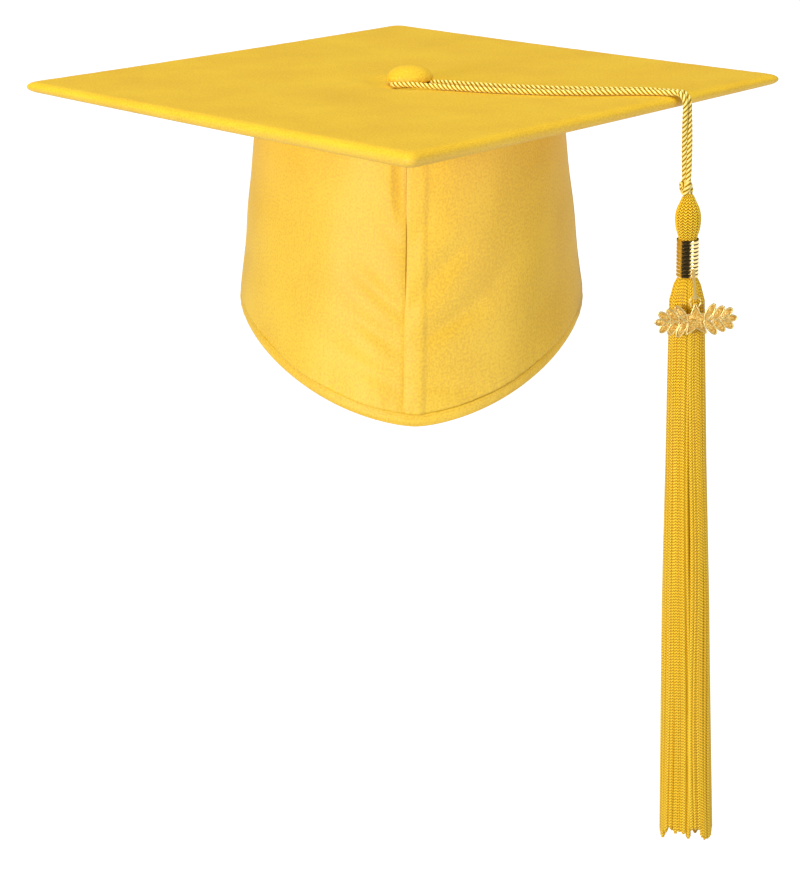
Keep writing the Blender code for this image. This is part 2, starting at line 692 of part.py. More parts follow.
def build_charm():
    """A laurel sprig each side of a star, with the ring that hangs on the band's hook."""
    x, y = HANG.x + CHARM_X, HANG.y + CHARM_Y
    charm_pivot = pivot("charm_pivot", (x, y, CHARM_PIVOT_Z))
    ring_z = CHARM_PIVOT_Z - RING_RADIUS
    middle_z = ring_z - CHARM_DROP
    shapes = [
        torus(x, y, ring_z, RING_RADIUS, RING_WIRE),
        prism(star(x, middle_z, STAR_REACH, STAR_REACH * 0.45), y, CHARM_THICK),
    ]
    for side in (-1, 1):
        tip = x + side * CHARM_HALF_WIDTH
        end = tip - side * STEM_SHORT
        stem = [(x, middle_z - STEM_ROOT), (end, middle_z - STEM_TIP)]
        stem += [(end, middle_z + STEM_TIP), (x, middle_z + STEM_ROOT)]
        shapes.append(prism(stem, y, CHARM_THICK * 0.9))
        tip_leaf = lens(tip - side * TIP_LEAF[0] / 2, middle_z, *TIP_LEAF, 0)
        shapes.append(prism(tip_leaf, y, CHARM_THICK * 0.95))
        for k in range(3):
            length = LEAF_LENGTH - LEAF_STEP * k
            root = x + side * (LEAF_ROOT + LEAF_SPACING * k)
            for lift in (-1, 1):
                lean = math.radians(LEAF_LEAN - LEAN_STEP * k)
                reach = length / 2
                spot_x = root + side * reach * math.cos(lean)
                spot_z = middle_z + lift * reach * math.sin(lean)
                leaf = lens(spot_x, spot_z, length, LEAF_WIDTH, side * lift * lean)
                shapes.append(prism(leaf, y, CHARM_THICK * 0.85))
    joined = finish("charm", shapes[0], GILT, 0.25, 1.0, charm_pivot, 30)
    for number, shape in enumerate(shapes[1:]):
        cutter = finish(f"charm_shape_{number}", shape, GILT, 0.25, 1.0, charm_pivot)
        cutter.hide_render = True
        cutter.display_type = "WIRE"
        union = joined.modifiers.new(f"join_{number}", "BOOLEAN")
        union.operation = "UNION"
        union.solver = "EXACT"
        union.object = cutter


def main():
    for obj in list(bpy.data.objects):
        bpy.data.objects.remove(obj, do_unlink=True)
    build_board()
    build_button()
    build_skullcap()
    build_cord()
    build_drop()
    build_tassel()
    build_charm()


main()
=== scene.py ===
"""The looks of the graduation cap: its fabric, cord, tassel and charm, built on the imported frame.

Metres, +Z up, the wearer faces -Y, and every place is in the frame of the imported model.
"""

import json
import math
import random

import bpy
import numpy as np
from mathutils import Matrix, Vector


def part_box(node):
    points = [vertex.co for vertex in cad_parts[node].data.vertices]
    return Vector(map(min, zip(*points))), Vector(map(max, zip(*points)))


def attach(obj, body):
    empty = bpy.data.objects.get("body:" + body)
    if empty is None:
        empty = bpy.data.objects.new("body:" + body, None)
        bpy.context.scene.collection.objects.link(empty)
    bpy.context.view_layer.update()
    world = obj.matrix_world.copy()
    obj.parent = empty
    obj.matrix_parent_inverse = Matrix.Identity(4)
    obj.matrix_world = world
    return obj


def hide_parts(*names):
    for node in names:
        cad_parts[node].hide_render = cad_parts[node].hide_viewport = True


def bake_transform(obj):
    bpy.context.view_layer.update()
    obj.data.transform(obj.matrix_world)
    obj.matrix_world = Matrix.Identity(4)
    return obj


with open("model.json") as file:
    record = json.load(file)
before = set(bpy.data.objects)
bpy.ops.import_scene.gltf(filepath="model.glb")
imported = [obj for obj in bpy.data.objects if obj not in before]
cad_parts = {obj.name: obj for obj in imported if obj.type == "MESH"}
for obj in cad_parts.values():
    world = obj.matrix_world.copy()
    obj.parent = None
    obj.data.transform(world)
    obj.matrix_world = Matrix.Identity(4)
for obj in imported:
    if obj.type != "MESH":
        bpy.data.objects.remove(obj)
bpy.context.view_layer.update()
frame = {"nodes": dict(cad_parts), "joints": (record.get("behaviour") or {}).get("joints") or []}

# ---------------- sizes, from the frame where it has them
GAP = 0.0003
SQRT2 = math.sqrt(2)

board_low, board_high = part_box("board_top_cover")
CORNER = 0.004
BOARD_X = (board_low.x + board_high.x) / 2
BOARD_REACH = (board_high.x - board_low.x) / 2  # from the board's middle to a corner
BOARD_SIDE_HALF = (BOARD_REACH - CORNER) / SQRT2 + CORNER
BOARD_MID = (board_low.z + board_high.z) / 2
BOARD_HALF = (board_high.z - board_low.z) / 2
EDGE_ROLL = 0.0045  # how far in from the outline the soft edge starts to round over
HALF_AT_SIDES = 0.0024  # half the board's thickness at the left and right corners
HALF_AT_FRONT = 0.0035  # and at the front and back corners
WARP_SIDES = 0.0022  # how far the side corners curl up, and the others droop
WARP_FRONT = -0.0012
WARP_BACK = -0.0005
DIMPLE_FLOOR = 0.0018
DIMPLE_RADII = (0.012, 0.024)
CLOTH = 0.00045
PIN_HOLE = 0.0014
WADDING_HOLE = 0.025

CROWN_HALF_WIDTH, CROWN_HALF_LENGTH = 0.0678, 0.0840
FLARE_WIDTH, FLARE_LENGTH = 0.107, 0.130
PANEL_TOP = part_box("side_panel_left")[1].z
PANEL = 0.0007
LINING_IN, LINING = 0.0020, 0.0004
LINING_TOP = 0.0004
HEM = 0.0056
SIDE_EDGE_Z = -0.0914
FRONT_EDGE_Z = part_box("hem_band")[0].z
BACK_EDGE_Z = -0.0989
FRONT_SPREAD = math.radians(85)
CASING_START = math.radians(110)
SEAM_AT_TOP, SEAM_AT_FOOT = -0.0027, -0.0054  # the front seam wanders to this x
SEAM_FOOT_Z = -0.118
LABEL_TURN = 0.11  # half the label's width, as an angle
PLEAT_END = -0.045
PLEAT_FADE = 0.024  # height over which the pleat opens
PLEAT_SWELL, PLEAT_HOLLOW = 0.0010, 0.0014
STRIP = 0.0083  # width of the pressed seam allowance
STRIP_LIFT = 0.0013
SHOULDER_PULL = 0.0026  # how far the sides are drawn in at the crown seam
GATHER_DEPTH = 0.0011
SIDES = ((-1, "left"), (1, "right"))

CORD = 0.0023
STRAND_OFFSET = 0.0013
TWISTED_OFFSET = 0.00100  # the cords press into each other where they hang
BEND_RADIUS = 0.0046
KNOT_LEAN = -0.0010  # the knot sits a little to -X of the tassel's middle
CROSSING = -0.0026  # where the cord crosses the edge, along it from the joint
CROSSING_OUT = 0.0008  # and how much further out than the joint
FULLNESS = 1.12  # the plies swell a little past the cord's nominal size
PLY_PITCH = 0.0066  # length of one turn of the three plies
# The cord's route over the board, in millimetres.
LOOP_Z = BOARD_MID + 0.00275
DIP_Z = BOARD_MID + 0.0033
LOOP_ROUTE = [(-7.6, -8.6), (-8.0, -4.0), (-5.6, 1.0), (-1.6, 3.6), (3.0, 3.0), (6.6, 0.0), (9.2, -4.2)]
FRONT_START = (-6.4, -11.6)
FRONT_ROUTE = [(0, -15.5), (12, -21.5), (31, -31.0), (50, -38.0)]
FRONT_ROUTE += [(66, -42.3), (82, -44.3), (97, -45.6), (107, -48.3)]
BACK_START = (10.9, -6.6)
BACK_ROUTE = [(17.5, -12.0), (27, -17.5), (43, -25.0), (60, -31.0)]
BACK_ROUTE += [(76, -35.5), (91, -38.8), (102, -41.0), (109, -44.8)]
EDGE_OUT = Vector((1, -1, 0)).normalized()
EDGE_ALONG = Vector((1, 1, 0)).normalized()

head_low, head_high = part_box("tassel_head")
band_low, band_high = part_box("tassel_band")
knot_low, knot_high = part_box("cord_knot")
HANG = Vector(((head_low.x + head_high.x) / 2, (head_low.y + head_high.y) / 2, 0))
JOINT_AT = {joint["name"]: joint["pos_m"] for joint in frame["joints"]}
DROP_JOINT_Z = JOINT_AT["drop_swing"][2]
SKIRT_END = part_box("strand_bundle_04")[0].z
OUTER_BUNDLES = [f"strand_bundle_{n:02d}" for n in range(4, 13)]
INNER_BUNDLES = [f"strand_bundle_{n:02d}" for n in range(1, 4)]
STRANDS_PER_BUNDLE = 4
STITCH = 0.00135  # one V of a chainette strand
SKIRT_DEPTH = 0.76
SKIRT_LEAN = 0.0032  # the skirt's foot hangs this far to +X

CHARM_AT = Vector(JOINT_AT["charm_swing"])
CHARM_HALF_WIDTH, CHARM_DROP, CHARM_THICK = 0.0180, 0.0082, 0.0012
STAR_REACH = 0.0076
RING_RADIUS, RING_WIRE = 0.00245, 0.00035
STEMS = (1, 9)  # which of the charm's outlines are its two stems
CHARM_TILT = math.radians(3)

CAMERA_TARGET = Vector((-0.0057, 0, -0.1572))
CAMERA_DISTANCE = 1.6
CAMERA_AZIMUTH, CAMERA_PITCH, CAMERA_ROLL = (math.radians(a) for a in (-0.771, 15.475, -0.459))
CAMERA_LENS = 143.47

# The materials are fitted to this light, and may look different in another.
FLOOR_Z = -3.0  # low enough not to hide the cap from below
ROOM_LIGHT = 0.50  # how strongly the room lights cloth, where 1 is what the camera sees
ROOM_IN_MIRRORS = 0.05  # and how strongly it shows in reflections
SCREEN_RADIUS = 3.2  # a dark screen that only mirrors, round the front left
SCREEN_FLOOR = -1.62  # where the screen turns in under the part

GOLD = (0.92, 0.56, 0.006)


# ---------------- camera and light
def build_camera():
    """Looks at the target from the front, a little above, slightly rolled."""
    cos_pitch = math.cos(CAMERA_PITCH)
    cos_turn, sin_turn = math.cos(CAMERA_AZIMUTH), math.sin(CAMERA_AZIMUTH)
    back = Vector((sin_turn * cos_pitch, -cos_turn * cos_pitch, math.sin(CAMERA_PITCH)))
    right = Vector((cos_turn, sin_turn, 0))
    up = back.cross(right)
    turned_right = right * math.cos(CAMERA_ROLL) + up * math.sin(CAMERA_ROLL)
    turned_up = up * math.cos(CAMERA_ROLL) - right * math.sin(CAMERA_ROLL)
    data = bpy.data.cameras.new("camera")
    data.lens = CAMERA_LENS
    data.sensor_width = 36
    data.clip_start, data.clip_end = 0.05, 200
    camera = bpy.data.objects.new("camera", data)
    bpy.context.scene.collection.objects.link(camera)
    axes = Matrix((turned_right, turned_up, back)).transposed().to_4x4()
    camera.matrix_world = Matrix.Translation(CAMERA_TARGET + back * CAMERA_DISTANCE) @ axes
    bpy.context.scene.camera = camera


def area_light(name, place, size, power):
    data = bpy.data.lights.new(name, "AREA")
    data.shape = "DISK"
    data.size = size
    data.energy = power
    light = bpy.data.objects.new(name, data)
    bpy.context.scene.collection.objects.link(light)
    light.location = place
    light.rotation_euler = (CAMERA_TARGET - Vector(place)).to_track_quat("-Z", "Y").to_euler()
    return light


def stage_object(name, corners, faces, mat):
    mesh = bpy.data.meshes.new(name)
    mesh.from_pydata(corners, [], faces)
    mesh.materials.append(mat)
    obj = bpy.data.objects.new(name, mesh)
    bpy.context.scene.collection.objects.link(obj)
    return obj


def build_studio():
    """A pale floor and room, with soft lights from the front left, overhead and the front right."""
    scene = bpy.context.scene
    scene.view_settings.view_transform = "Standard"
    world = bpy.data.worlds.new("room")
    scene.world = world
    world.use_nodes = True
    nodes, links = world.node_tree.nodes, world.node_tree.links
    nodes["Background"].inputs["Color"].default_value = (1, 1, 1, 1)
    path = nodes.new("ShaderNodeLightPath")
    strength = None
    amounts = {"Is Camera Ray": 1.0, "Is Diffuse Ray": ROOM_LIGHT, "Is Glossy Ray": ROOM_IN_MIRRORS}
    for ray, amount in amounts.items():
        share = nodes.new("ShaderNodeMath")
        share.operation = "MULTIPLY_ADD"
        links.new(path.outputs[ray], share.inputs[0])
        share.inputs[1].default_value = amount
        share.inputs[2].default_value = 0
        if strength:
            links.new(strength, share.inputs[2])
        strength = share.outputs[0]
    links.new(strength, nodes["Background"].inputs["Strength"])
    area_light("key_light", (-1.75, -2.2, 0.25), 0.9, 49)
    area_light("top_light", (-0.3, -0.1, 1.9), 1.3, 22).visible_glossy = False
    area_light("side_light", (2.05, -1.95, 0.1), 0.7, 14)

    pale = Nodes("pale_floor", (0.93, 0.93, 0.93), 0.9)
    pale.set("Emission Color", (1, 1, 1, 1))
    pale.set("Emission Strength", 0.72)
    corners = [(-40, -40, FLOOR_Z), (40, -40, FLOOR_Z), (40, 40, FLOOR_Z), (-40, 40, FLOOR_Z)]
    floor = stage_object("floor", corners, [(0, 1, 2, 3)], pale.material)
    floor.visible_diffuse = False


def build_screen():
    """A dark curved screen, seen only in mirrors, which gives the polished band its dark half."""
    dark = Nodes("dark_screen", (0.02, 0.012, 0.005), 0.5)
    columns, rows = 12, 14
    corners, faces = [], []
    for row in range(rows + 1):
        rise = math.radians(-85 + 140 * row / rows)
        reach = min(SCREEN_RADIUS, SCREEN_FLOOR / math.tan(rise)) if rise < 0 else SCREEN_RADIUS
        for column in range(columns + 1):
            turn = math.radians(-96 + 120 * column / columns)
            x, y = HANG.x + reach * math.sin(turn), HANG.y - reach * math.cos(turn)
            corners.append((x, y, reach * math.tan(rise)))
    for row in range(rows):
        for k in range(row * (columns + 1), row * (columns + 1) + columns):
            faces.append((k, k + 1, k + columns + 2, k + columns + 1))
    screen = stage_object("dark_screen", corners, faces, dark.material)
    screen.visible_camera = False
    screen.visible_diffuse = False
    screen.visible_shadow = False


def unlight(obj, light_name):
    """Keeps one light off one piece."""
    lit = bpy.data.collections.new(light_name + "_receivers")
    bpy.data.objects[light_name].light_linking.receiver_collection = lit
    lit.objects.link(obj)
    lit.collection_objects[-1].light_linking.link_state = "EXCLUDE"


# ---------------- materials
class Nodes:
    """A material's node tree, with short ways to add to it."""

    def __init__(self, name, colour, roughness, metallic=0.0):
        self.material = bpy.data.materials.new(name)
        self.material.use_nodes = True
        self.tree = self.material.node_tree
        self.shader = self.tree.nodes["Principled BSDF"]
        self.set("Base Color", (*colour, 1))
        self.set("Roughness", roughness)
        self.set("Metallic", metallic)

    def set(self, socket, value):
        self.shader.inputs[socket].default_value = value

    def link(self, out, into):
        self.tree.links.new(out, into)

    def add(self, kind, **inputs):
        node = self.tree.nodes.new(kind)
        for name, value in inputs.items():
            node.inputs[name].default_value = value
        return node

    def place(self, kind, scale):
        """Texture coordinates of a kind (UV or Object), stretched by scale."""
        mapping = self.add("ShaderNodeMapping", Scale=scale)
        self.link(self.add("ShaderNodeTexCoord").outputs[kind], mapping.inputs["Vector"])
        return mapping.outputs["Vector"]

    def noise(self, kind, scale, detail):
        node = self.add("ShaderNodeTexNoise", Scale=1.0, Detail=detail)
        self.link(self.place(kind, scale), node.inputs["Vector"])
        return node.outputs["Fac"]

    def wave(self, kind, scale, direction="X"):
        node = self.add("ShaderNodeTexWave", Scale=1.0)
        node.bands_direction = direction
        self.link(self.place(kind, scale), node.inputs["Vector"])
        return node.outputs["Fac"]

    def math(self, operation, a, b):
        node = self.add("ShaderNodeMath")
        node.operation = operation
        for socket, value in zip(node.inputs, (a, b)):
            if isinstance(value, (int, float)):
                socket.default_value = value
            else:
                self.link(value, socket)
        return node.outputs[0]

    def mix(self, first, first_share, second, second_share):
        """Two fields added, each times its share."""
        first = self.math("MULTIPLY", first, first_share)
        return self.math("ADD", first, self.math("MULTIPLY", second, second_share))

    def colour(self, factor, stops):
        """Colours the surface by a ramp of (position, colour) stops."""
        node = self.add("ShaderNodeValToRGB")
        elements = node.color_ramp.elements
        while len(elements) < len(stops):
            elements.new(0.5)
        for element, (position, colour) in zip(elements, stops):
            element.position = position
            element.color = (*colour, 1)
        self.link(factor, node.inputs["Fac"])
        self.link(node.outputs["Color"], self.shader.inputs["Base Color"])

    def roughen(self, factor, spread, least):
        rough = self.math("ADD", self.math("MULTIPLY", factor, spread), least)
        self.link(rough, self.shader.inputs["Roughness"])

    def sheen(self, specular, weight, tint):
        self.set("Specular IOR Level", specular)
        self.set("Sheen Weight", weight)
        self.set("Sheen Roughness", 0.4)
        self.set("Sheen Tint", (*tint, 1))

    def bump(self, height, strength, distance):
        node = self.add("ShaderNodeBump", Strength=strength, Distance=distance)
        self.link(height, node.inputs["Height"])
        self.link(node.outputs["Normal"], self.shader.inputs["Normal"])


def shade(colour, factor):
    return tuple(min(1.0, c * factor) for c in colour)


def satin(name, kind="UV"):
    """Matt satin: fine grain, faint slubs along the warp, and a soft pale sheen."""
    m = Nodes(name, GOLD, 0.5)
    grain = m.noise(kind, (1100, 1100, 1100), 2)
    slub = m.noise(kind, (900, 130, 900), 2)
    cloud = m.noise(kind, (30, 30, 30), 2)
    weave = m.wave(kind, (640, 0, 640))
    fine = m.mix(grain, 0.8, slub, 0.2)
    red, green, blue = GOLD
    low = (red * 0.92, green * 0.88, blue * 0.5)
    high = (min(1, red * 1.04), green * 1.09, blue * 2)
    m.colour(m.mix(fine, 0.75, cloud, 0.25), [(0.43, low), (0.5, GOLD), (0.57, high)])
    m.roughen(grain, 0.14, 0.56)
    m.bump(m.math("ADD", fine, m.math("MULTIPLY", weave, 0.2)), 0.16, 0.0002)
    m.sheen(0.9, 0.06, (1.0, 0.92, 0.55))
    return m.material


def yarn(name, mid, dark, light):
    """Rayon yarn: painted shade darkens the hollows and a painted highlight lightens the crowns, with fine
    fibres along it.
    """
    m = Nodes(name, mid, 0.42)
    relief = m.add("ShaderNodeAttribute")
    relief.attribute_name = "relief"
    fibre = m.noise("UV", (9000, 700, 1), 2)
    uneven = m.math("MULTIPLY", m.math("SUBTRACT", fibre, 0.5), 0.2)
    # The ramp follows the relief: its dark stop is painted shade, its light stop a painted highlight; the
    # fibre noise is the yarn's own uneven tone.
    m.colour(m.math("ADD", relief.outputs["Fac"], uneven), [(0.05, dark), (0.42, mid), (0.90, light)])
    m.bump(fibre, 0.25, 0.0001)
    m.sheen(0.25, 0.02, (1.0, 0.88, 0.5))
    return m.material


def plated(name, colour, roughness, metallic=1.0):
    """Plated metal with faint handling marks."""
    m = Nodes(name, colour, roughness, metallic)
    marks = m.noise("Object", (900, 900, 900), 4)
    m.roughen(marks, 0.14, roughness - 0.05)
    m.colour(marks, [(0.3, shade(colour, 0.93)), (0.7, shade(colour, 1.04))])
    m.bump(marks, 0.05, 0.00005)
    return m.material


def glitter(name):
    """The charm's rough sparkling ground: small facets that tilt every way, with painted glints in their
    colour.
    """
    m = Nodes(name, (1.0, 0.66, 0.16), 0.45, 0.25)
    cells = m.add("ShaderNodeTexVoronoi", Scale=1.0)
    m.link(m.place("Object", (1300, 1300, 1300)), cells.inputs["Vector"])
    # Painted glints: each cell is coloured bright at its middle and darker towards its border.
    m.colour(cells.outputs["Distance"], [(0.1, (1.0, 0.76, 0.26)), (0.7, (0.72, 0.36, 0.03))])
    m.bump(cells.outputs["Distance"], 0.9, 0.0002)
    return m.material


def woven(name, colour, threads):
    """Plain weave for linings, webbing and tape: two sets of threads."""
    m = Nodes(name, colour, 0.75)
    warp = m.wave("Object", (threads, 0, threads))
    weft = m.wave("Object", (0, threads, threads), "Y")
    cloth = m.mix(warp, 0.5, weft, 0.5)
    # The weave's crests are coloured lighter and the gaps between threads darker, painted shade; the noise is
    # the cloth's own uneven tone.
    tone = m.mix(cloth, 0.6, m.noise("Object", (60, 60, 60), 3), 0.4)
    m.colour(tone, [(0.25, shade(colour, 0.80)), (0.75, shade(colour, 1.08))])
    m.bump(cloth, 0.3, 0.0002)
    return m.material


def fibrous(name, colour, scale):
    """Card or wadding: a mat of fibres."""
    m = Nodes(name, colour, 0.9)
    fibres = m.noise("Object", (scale, scale, scale * 3), 5)
    m.colour(fibres, [(0.3, shade(colour, 0.75)), (0.7, shade(colour, 1.12))])
    m.bump(fibres, 0.5, 0.0004)
    return m.material


# ---------------- mesh helpers
def add_object(name, mesh, mat):
    mesh.materials.append(mat)
    obj = bpy.data.objects.new(name, mesh)
    bpy.context.scene.collection.objects.link(obj)
    return obj


def settle(obj, body, slot, *nodes):
    """The CAD nodes a piece stands for, the body it rides on, and its material slot, which is not used."""
    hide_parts(*nodes)
    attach(obj, body)


def full_turn(count):
    """Evenly spaced angles, once round."""
    return 2 * math.pi * np.arange(count) / count


def level(z):
    """An edge at one height all the way round."""
    return lambda turn: z + 0 * turn


def travelled(path):
    """The distance along a path at each of its points."""
    steps = np.linalg.norm(np.diff(path, axis=0), axis=1)
    return np.concatenate([[0], np.cumsum(steps)])


def grid_object(name, points, mat, around=False, along=False, relief=None):
    """A smooth quad mesh from points of shape (rows, columns, 3).

    around joins the last column to the first, along the last row to the first. The UVs are in
    metres, measured along the middle row and the middle column.
    """
    rows, columns = points.shape[:2]
    row, column = np.meshgrid(
        np.arange(rows if along else rows - 1),
        np.arange(columns if around else columns - 1),
        indexing="ij",
    )
    corners = [(row, column), (row, column + 1), (row + 1, column + 1), (row + 1, column)]
    quads = np.stack([(r % rows) * columns + (c % columns) for r, c in corners], -1).reshape(-1, 4)
    mesh = bpy.data.meshes.new(name)
    mesh.vertices.add(rows * columns)
    mesh.vertices.foreach_set("co", points.astype(np.float32).ravel())
    mesh.loops.add(quads.size)
    mesh.loops.foreach_set("vertex_index", quads.astype(np.int32).ravel())
    mesh.polygons.add(len(quads))
    mesh.polygons.foreach_set("loop_start", np.arange(0, quads.size, 4, dtype=np.int32))
    mesh.update(calc_edges=True)
    across = travelled(np.vstack([points[rows // 2], points[rows // 2, :1]]))
    down = travelled(np.vstack([points[:, columns // 2], points[:1, columns // 2]]))
    uv = np.stack([np.stack([across[c], down[r]], -1) for r, c in corners], -2)
    mesh.uv_layers.new(name="metres").data.foreach_set("uv", uv.reshape(-1).astype(np.float32))
    if relief is not None:
        values = mesh.attributes.new("relief", "FLOAT", "POINT").data
        values.foreach_set("value", relief.astype(np.float32).ravel())
    mesh.shade_smooth()
    return add_object(name, mesh, mat)


def thicken(obj, thickness, offset=-1.0):
    """Gives a sheet its cloth's thickness, inward from its face."""
    bpy.context.view_layer.objects.active = obj
    solid = obj.modifiers.new("cloth", "SOLIDIFY")
    solid.thickness = thickness
    solid.offset = offset
    bpy.ops.object.modifier_apply(modifier="cloth")
    return obj


def smooth_route(points, step):
    """Points about one step apart on the Catmull-Rom curve through the route's own points."""
    ends = [2 * points[0] - points[1]] + points + [2 * points[-1] - points[-2]]
    curve = []
    for a, b, c, d in zip(ends, ends[1:], ends[2:], ends[3:]):
        count = max(1, round((c - b).length / step))
        for i in range(count):
            t = i / count
            straight = 2 * b + (c - a) * t
            bend = (2 * a - 5 * b + 4 * c - d) * t**2
            curve.append(0.5 * (straight + bend + (3 * b - a - 3 * c + d) * t**3))
    return curve + [points[-1]]


def path_frames(path):
    """Each point's tangent and two sides, carried along the path so that they don't twist."""
    path = np.asarray(path, float)
    tangent = np.gradient(path, axis=0)
    tangent /= np.linalg.norm(tangent, axis=1)[:, None]
    side = np.cross(tangent[0], (0, 0, 1) if abs(tangent[0][2]) < 0.9 else (1, 0, 0))
    sides = []
    for t in tangent:
        side = side - t * (side @ t)
        side = side / np.linalg.norm(side)
        sides.append(side)
    sides = np.array(sides)
    return path, tangent, sides, np.cross(tangent, sides)


def tube_object(name, path, radius, mat, around=12, relief=None, flatten=None):
    """A tube of radius (rows, around) along a path. flatten scales its height at each point."""
    path, _, side, up = path_frames(path)
    turn = full_turn(around)
    radius = np.broadcast_to(radius, (len(path), around)).copy()
    radius[0] = radius[-1] = 0
    height = np.ones(len(path)) if flatten is None else flatten
    points = (
        path[:, None]
        + side[:, None] * (radius * np.cos(turn))[..., None]
        + up[:, None] * (radius * np.sin(turn) * height[:, None])[..., None]
    )
    return grid_object(name, points, mat, around=True, relief=relief)


# ---------------- the board's shape
def board_warp(x, y):
    """How far the board curls from flat: its side corners up, the front and back ones down."""
    along = (x - BOARD_X) / BOARD_REACH
    across = y / BOARD_REACH
    droop = np.where(y < 0, WARP_FRONT, WARP_BACK)
    return WARP_SIDES * along**2 + droop * across**2


def board_half(y):
    """Half the board's thickness, which is least at its side corners."""
    return HALF_AT_SIDES + (HALF_AT_FRONT - HALF_AT_SIDES) * np.minimum(1, np.abs(y) / BOARD_REACH)


def board_top(x, y):
    return BOARD_MID + board_half(y) + board_warp(x, y)


# ---------------- cord
def three_ply(distance, around, radius):
    """The outline of three plies laid together, turning along the cord, and how proud each point is."""
    turn = full_turn(around)
    phase = turn[None, :] - 2 * math.pi * distance[:, None] / PLY_PITCH
    local = (phase + math.pi / 3) % (2 * math.pi / 3) - math.pi / 3
    centre, ply = 0.40 * radius, 0.60 * radius
    outline = centre * np.cos(local) + np.sqrt(ply**2 - (centre * np.sin(local)) ** 2)
    # How proud a point is; the cord's colour follows it, painted shade between the plies and painted
    # highlight on their crowns.
    relief = np.cos(local * 1.5) ** 2
    return outline, relief


def over_edge(along):
    """The quarter turn of a cord from level to plumb, over the board's edge."""
    foot = HANG + EDGE_ALONG * along + EDGE_OUT * CROSSING_OUT
    level = board_top(foot.x, foot.y) + GAP + CORD / 2
    centre = foot - EDGE_OUT * BEND_RADIUS
    points = []
    for step in range(5):
        turn = math.radians(22.5 * step)
        rise = level - BEND_RADIUS + BEND_RADIUS * math.cos(turn)
        points.append(centre + EDGE_OUT * BEND_RADIUS * math.sin(turn) + Vector((0, 0, rise)))
    return points


def drop_route(side):
    """One cord of the hanging pair: a quarter turn round the other, slanting from the edge to the knot."""
    foot = knot_high.z - 0.0012
    steps = 14
    points = []
    for i in range(1, steps + 1):
        turn = math.pi / 4 - math.pi / 2 * i / steps
        offset = STRAND_OFFSET + (TWISTED_OFFSET - STRAND_OFFSET) * i / steps
        around = Vector((math.cos(turn), math.sin(turn), 0)) * offset * side
        slant = (EDGE_ALONG * CROSSING + EDGE_OUT * CROSSING_OUT) * (1 - i / steps) ** 1.3
        slant = slant + Vector((KNOT_LEAN * i / steps, 0, 0))
        height = Vector((0, 0, DROP_JOINT_Z + (foot - DROP_JOINT_Z) * i / steps))
        points.append(HANG + slant + around + height)
    return points


def run_route(start, route, side):
    """One cord from the button to the knot: out of the dimple, over the board and its edge, and down."""
    level = GAP + CORD / 2
    points = [Vector((start[0] / 1000, start[1] / 1000, DIP_Z))]
    for x, y in ((x / 1000, y / 1000) for x, y in route):
        points.append(Vector((x, y, board_top(x, y) + level)))
    return points + over_edge(CROSSING + side * STRAND_OFFSET) + drop_route(side)


def build_cord(mat):
    """One cord, folded in two round the button's pin, with both ends in the knot."""
    front = run_route(FRONT_START, FRONT_ROUTE, -1)
    back = run_route(BACK_START, BACK_ROUTE, 1)
    loop = [Vector((x / 1000, y / 1000, LOOP_Z)) for x, y in LOOP_ROUTE]
    path = np.array(smooth_route(front[::-1] + loop + back, 0.0003))
    keep = np.concatenate([[True], np.linalg.norm(np.diff(path, axis=0), axis=1) > 1e-5])
    path = path[keep]
    distance = travelled(path)
    radius, relief = three_ply(distance, 24, CORD / 2 * FULLNESS)
    from_pin = np.hypot(path[:, 0], path[:, 1])
    pressed = np.clip((0.0125 - from_pin) / 0.003, 0, 1)
    flatten = 1 - 0.48 * pressed
    obj = tube_object("tassel_cord", path, radius, mat, 24, relief, flatten)
    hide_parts("cord_run_front", "cord_run_back", "cord_loop", "cord_drop_front", "cord_drop_back")
    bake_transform(obj)


# ---------------- board
def square_ring(u, v, half, corner):
    """Maps the border of the square |u|,|v| <= 1 to a rounded square with its corners on the axes."""
    share = corner / half
    over_u = np.maximum(np.abs(u) - (1 - share), 0)
    over_v = np.maximum(np.abs(v) - (1 - share), 0)
    at_corner = (over_u > 0) & (over_v > 0)
    reach = np.hypot(over_u, over_v)
    scale = np.where(at_corner, share / np.maximum(reach, 1e-9), 1)
    u = np.where(at_corner, np.sign(u) * (1 - share + over_u * scale), u)
    v = np.where(at_corner, np.sign(v) * (1 - share + over_v * scale), v)
    return half * (u - v) / SQRT2 + BOARD_X, half * (u + v) / SQRT2


def dimple(x, y):
    """How far the button pulls the cover down, with the faint creases that run out from it."""
    near, far = DIMPLE_RADII
    out = np.hypot(x, y)
    ease = np.clip((far - out) / (far - near), 0, 1)
    ease = ease * ease * (3 - 2 * ease)
    turn = np.arctan2(y, x)
    creases = 0.00022 * np.sin(5 * turn + 0.8) * np.exp(-(((out - 0.020) / 0.010) ** 2))
    return (BOARD_HALF - DIMPLE_FLOOR) * ease + creases * (out > near)


def ripple(x, y, seed, wavelength, height):
    """A gentle unevenness made of a few waves in different directions."""
    chance = random.Random(seed)
    total = np.zeros(np.broadcast(x, y).shape)
    for _ in range(7):
        turn = chance.uniform(0, math.pi)
        length = wavelength * chance.uniform(0.7, 1.6)
        phase = chance.uniform(0, 2 * math.pi)
        total += np.sin(2 * math.pi * (x * math.cos(turn) + y * math.sin(turn)) / length + phase)
    return height * total / 7


